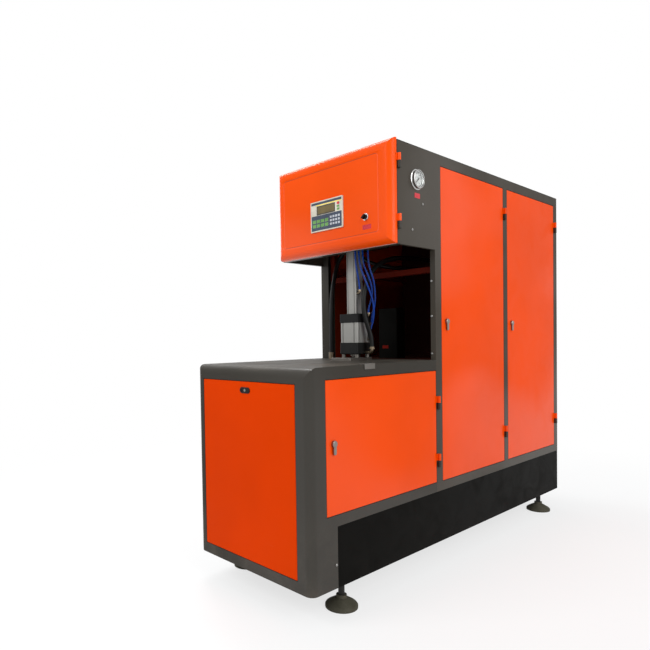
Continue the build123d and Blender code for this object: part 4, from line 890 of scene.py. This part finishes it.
# %% Dished ring of the gauge
def dished_ring(name, outer, inner, front, back, centre, steps=10, turns=72):
    """Points centre + (height, radius * cos a, radius * sin a) in millimetres, with
    radius = outer - (outer - inner) * sin(t pi / 2) and
    height = back + (front - back) * cos(t pi / 2), t from 0 to 1."""
    wave = np.linspace(0, np.pi / 2, steps)
    radius = np.append(outer - (outer - inner) * np.sin(wave), outer)
    height = np.append(back + (front - back) * np.cos(wave), back)
    around = np.linspace(0, 2 * np.pi, turns, endpoint=False)
    y = centre[1] + np.outer(np.cos(around), radius)
    z = centre[2] + np.outer(np.sin(around), radius)
    x = np.broadcast_to(centre[0] + height, y.shape)
    points = np.stack([x, y, z], axis=-1).reshape(-1, 3) / MM
    rows = len(radius)
    here = np.arange(turns)[:, None] * rows + np.arange(rows)[None, :]
    beside, above = np.roll(here, -1, axis=0), np.roll(here, -1, axis=1)
    quads = np.stack([here, beside, np.roll(beside, -1, axis=1), above], axis=-1)
    mesh = bpy.data.meshes.new(name)
    mesh.from_pydata(points.tolist(), [], quads.reshape(-1, 4).tolist())
    on_the_wave = np.arange(turns * rows) % rows < steps - 1
    mesh.polygons.foreach_set("use_smooth", on_the_wave.tolist())
    return new_piece(name, mesh, GAUGE_CHROME, "machine")


ring = dished_ring("gauge_dished_ring", outer=32.9, inner=26.6, front=6.2, back=0.3,
                   centre=(CASE_FLOOR, gauge_y, gauge_z))
volume = sum(face.area * face.normal.dot(face.center) / 3 for face in ring.data.polygons)
print("faces of the dished ring:", len(ring.data.polygons))
print("cubic millimetres, above zero as its faces look out:", round(volume * MM ** 3))

# %% [markdown]
# The studio is a pale floor that takes the machine's shadow. More light would make it
# whiter, but the machine too. So the floor glows for the camera and in reflections
# alone, and the more so the further away it is.

# %% Floor
FLOOR_REACH, FLOOR_DROP = 14.0, 0.0005  # metres; a hair below the pads
corners = FLOOR_REACH * np.array([(-1, -1, 0), (1, -1, 0), (1, 1, 0), (-1, 1, 0)])
floor_mesh = bpy.data.meshes.new("studio_floor")
floor_mesh.from_pydata(corners.tolist(), [], [(0, 1, 2, 3)])
floor = bpy.data.objects.new("studio_floor", floor_mesh)
scene_objects.link(floor)
floor.location.z = -FLOOR_DROP
FLOOR = bpy.data.materials.new("pale_floor")
FLOOR.use_nodes = True
floor_mesh.materials.append(FLOOR)
ground = FLOOR.node_tree
floor_shader = ground.nodes["Principled BSDF"]
floor_place = object_place(ground)
floor_cloud = noise(ground, floor_place, scale=3.0)
floor_colour = blend(ground, floor_cloud, (0.86, 0.86, 0.86, 1.0), (0.9, 0.9, 0.9, 1.0))
ground.links.new(floor_colour, floor_shader.inputs["Base Color"])
floor_shader.inputs["Roughness"].default_value = 0.9
floor_rays = add(ground, "ShaderNodeLightPath").outputs
floor_eye, floor_mirror = floor_rays["Is Camera Ray"], floor_rays["Is Glossy Ray"]
floor_seen = maths(ground, "MAXIMUM", floor_eye, floor_mirror)
white_glow = {"Color": (1, 1, 1, 1), "Strength": 1.0}
floor_glow = add(ground, "ShaderNodeEmission", white_glow).outputs[0]
floor_away = add(ground, "ShaderNodeVectorMath", {0: floor_place}, operation="LENGTH")
floor_away = floor_away.outputs["Value"]
floor_fade = ramp(ground, floor_away, low=1.3, high=3.2, start=0.72, end=1.0)
floor_share = maths(ground, "MULTIPLY", floor_seen, floor_fade)
mixed = {0: floor_share, 1: floor_shader.outputs[0], 2: floor_glow}
floor_mix = add(ground, "ShaderNodeMixShader", mixed).outputs[0]
ground.links.new(floor_mix, ground.nodes["Material Output"].inputs["Surface"])
print("floor nodes:", len(ground.nodes))

# %% [markdown]
# The world lights the machine softly from all round. In one even colour it would be too
# bright as a light or too grey as a background. So the camera, mirrors and glass see it
# plain white, and all else gets a soft fill.

# %% World
world = bpy.data.worlds.new("studio_world")
bpy.context.scene.world = world
world.use_nodes = True
sky = world.node_tree
sky_rays = add(sky, "ShaderNodeLightPath").outputs
sky_bounced = maths(sky, "MAXIMUM", sky_rays["Is Glossy Ray"], sky_rays["Is Transmission Ray"])
sky_seen = maths(sky, "MAXIMUM", sky_rays["Is Camera Ray"], sky_bounced)
soft_fill = {"Color": (0.96, 0.98, 1.0, 1.0), "Strength": 0.55}
plain_white = {"Color": (1.0, 1.0, 1.0, 1.0), "Strength": 1.0}
sky_fill = add(sky, "ShaderNodeBackground", soft_fill).outputs[0]
sky_white = add(sky, "ShaderNodeBackground", plain_white).outputs[0]
sky_mix = add(sky, "ShaderNodeMixShader", {0: sky_seen, 1: sky_fill, 2: sky_white})
sky.links.new(sky_mix.outputs[0], sky.nodes["World Output"].inputs["Surface"])
print("world nodes:", len(sky.nodes))

# %% [markdown]
# Broad light falls from the machine's right and from above, so its front is darker than
# its side. A sun would throw hard shadows, so area lamps do it: a large one on the right,
# one in front that keeps the front panel from going flat, and one on the left that fills
# the shadows. A strip above draws the bright band along the control door's top edge.

# %% Lamps
def area_lamp(name, place, target, size, power):
    """Square lamp that faces a target point."""
    lamp = bpy.data.lights.new(name, "AREA")
    lamp.size = size
    lamp.energy = power
    holder = bpy.data.objects.new(name, lamp)
    holder.location = place
    holder.rotation_mode = "QUATERNION"
    holder.rotation_quaternion = (Vector(target) - Vector(place)).to_track_quat("-Z", "Y")
    scene_objects.link(holder)


area_lamp("right_window", (4.5, -0.6, 3.2), target=(0, 0.1, 0.9), size=3.2, power=120)
area_lamp("front_high", (-1.2, -4.6, 4.2), target=(0, -0.6, 1.3), size=2.2, power=120)
area_lamp("left_fill", (-4.5, 0.5, 3.5), target=(0, 0, 0.9), size=3.0, power=55)
strip = bpy.data.lights.new("ceiling_strip", "AREA")
strip.shape = "RECTANGLE"
strip.size = 2.4
strip.size_y = 0.9
strip.energy = 100
strip_holder = bpy.data.objects.new("ceiling_strip", strip)
strip_holder.location = (-2.4, 0.3, 4.6)
scene_objects.link(strip_holder)
print("lamps:", [lamp.name for lamp in bpy.data.lights])

# %% [markdown]
# The camera stands where the photograph's camera stood. Set up by eye, it would match one
# edge and miss the others. So its place, two angles, a slight roll and the lens came from a
# fit to the machine's straight edges, and a small shift moves the lens axis off the middle
# of the frame, as in a cropped photo.

# %% Camera
camera = bpy.data.objects.new("photo_camera", bpy.data.cameras.new("photo_camera"))
stand = (1.6325, -2.4012, 0.9925)
yaw, pitch, roll = 0.857336, -0.025077, -0.017604  # radians
level = math.cos(pitch)
ahead = Vector((-math.sin(yaw) * level, math.cos(yaw) * level, math.sin(pitch)))
right = Vector((math.cos(yaw), math.sin(yaw), 0))
up = right.cross(ahead)
tilted_right = right * math.cos(roll) + up * math.sin(roll)
tilted_up = -right * math.sin(roll) + up * math.cos(roll)
facing = Matrix((tilted_right, tilted_up, -ahead)).transposed()
camera.matrix_world = Matrix.Translation(stand) @ facing.to_4x4()
camera.data.sensor_width = 36.0
camera.data.lens = 31.098
camera.data.shift_x = 0.1077
camera.data.shift_y = 0.0462
camera.data.clip_start = 0.05
scene_objects.link(camera)
bpy.context.scene.camera = camera
bpy.context.scene.view_settings.view_transform = "Standard"
print("camera at", stand)
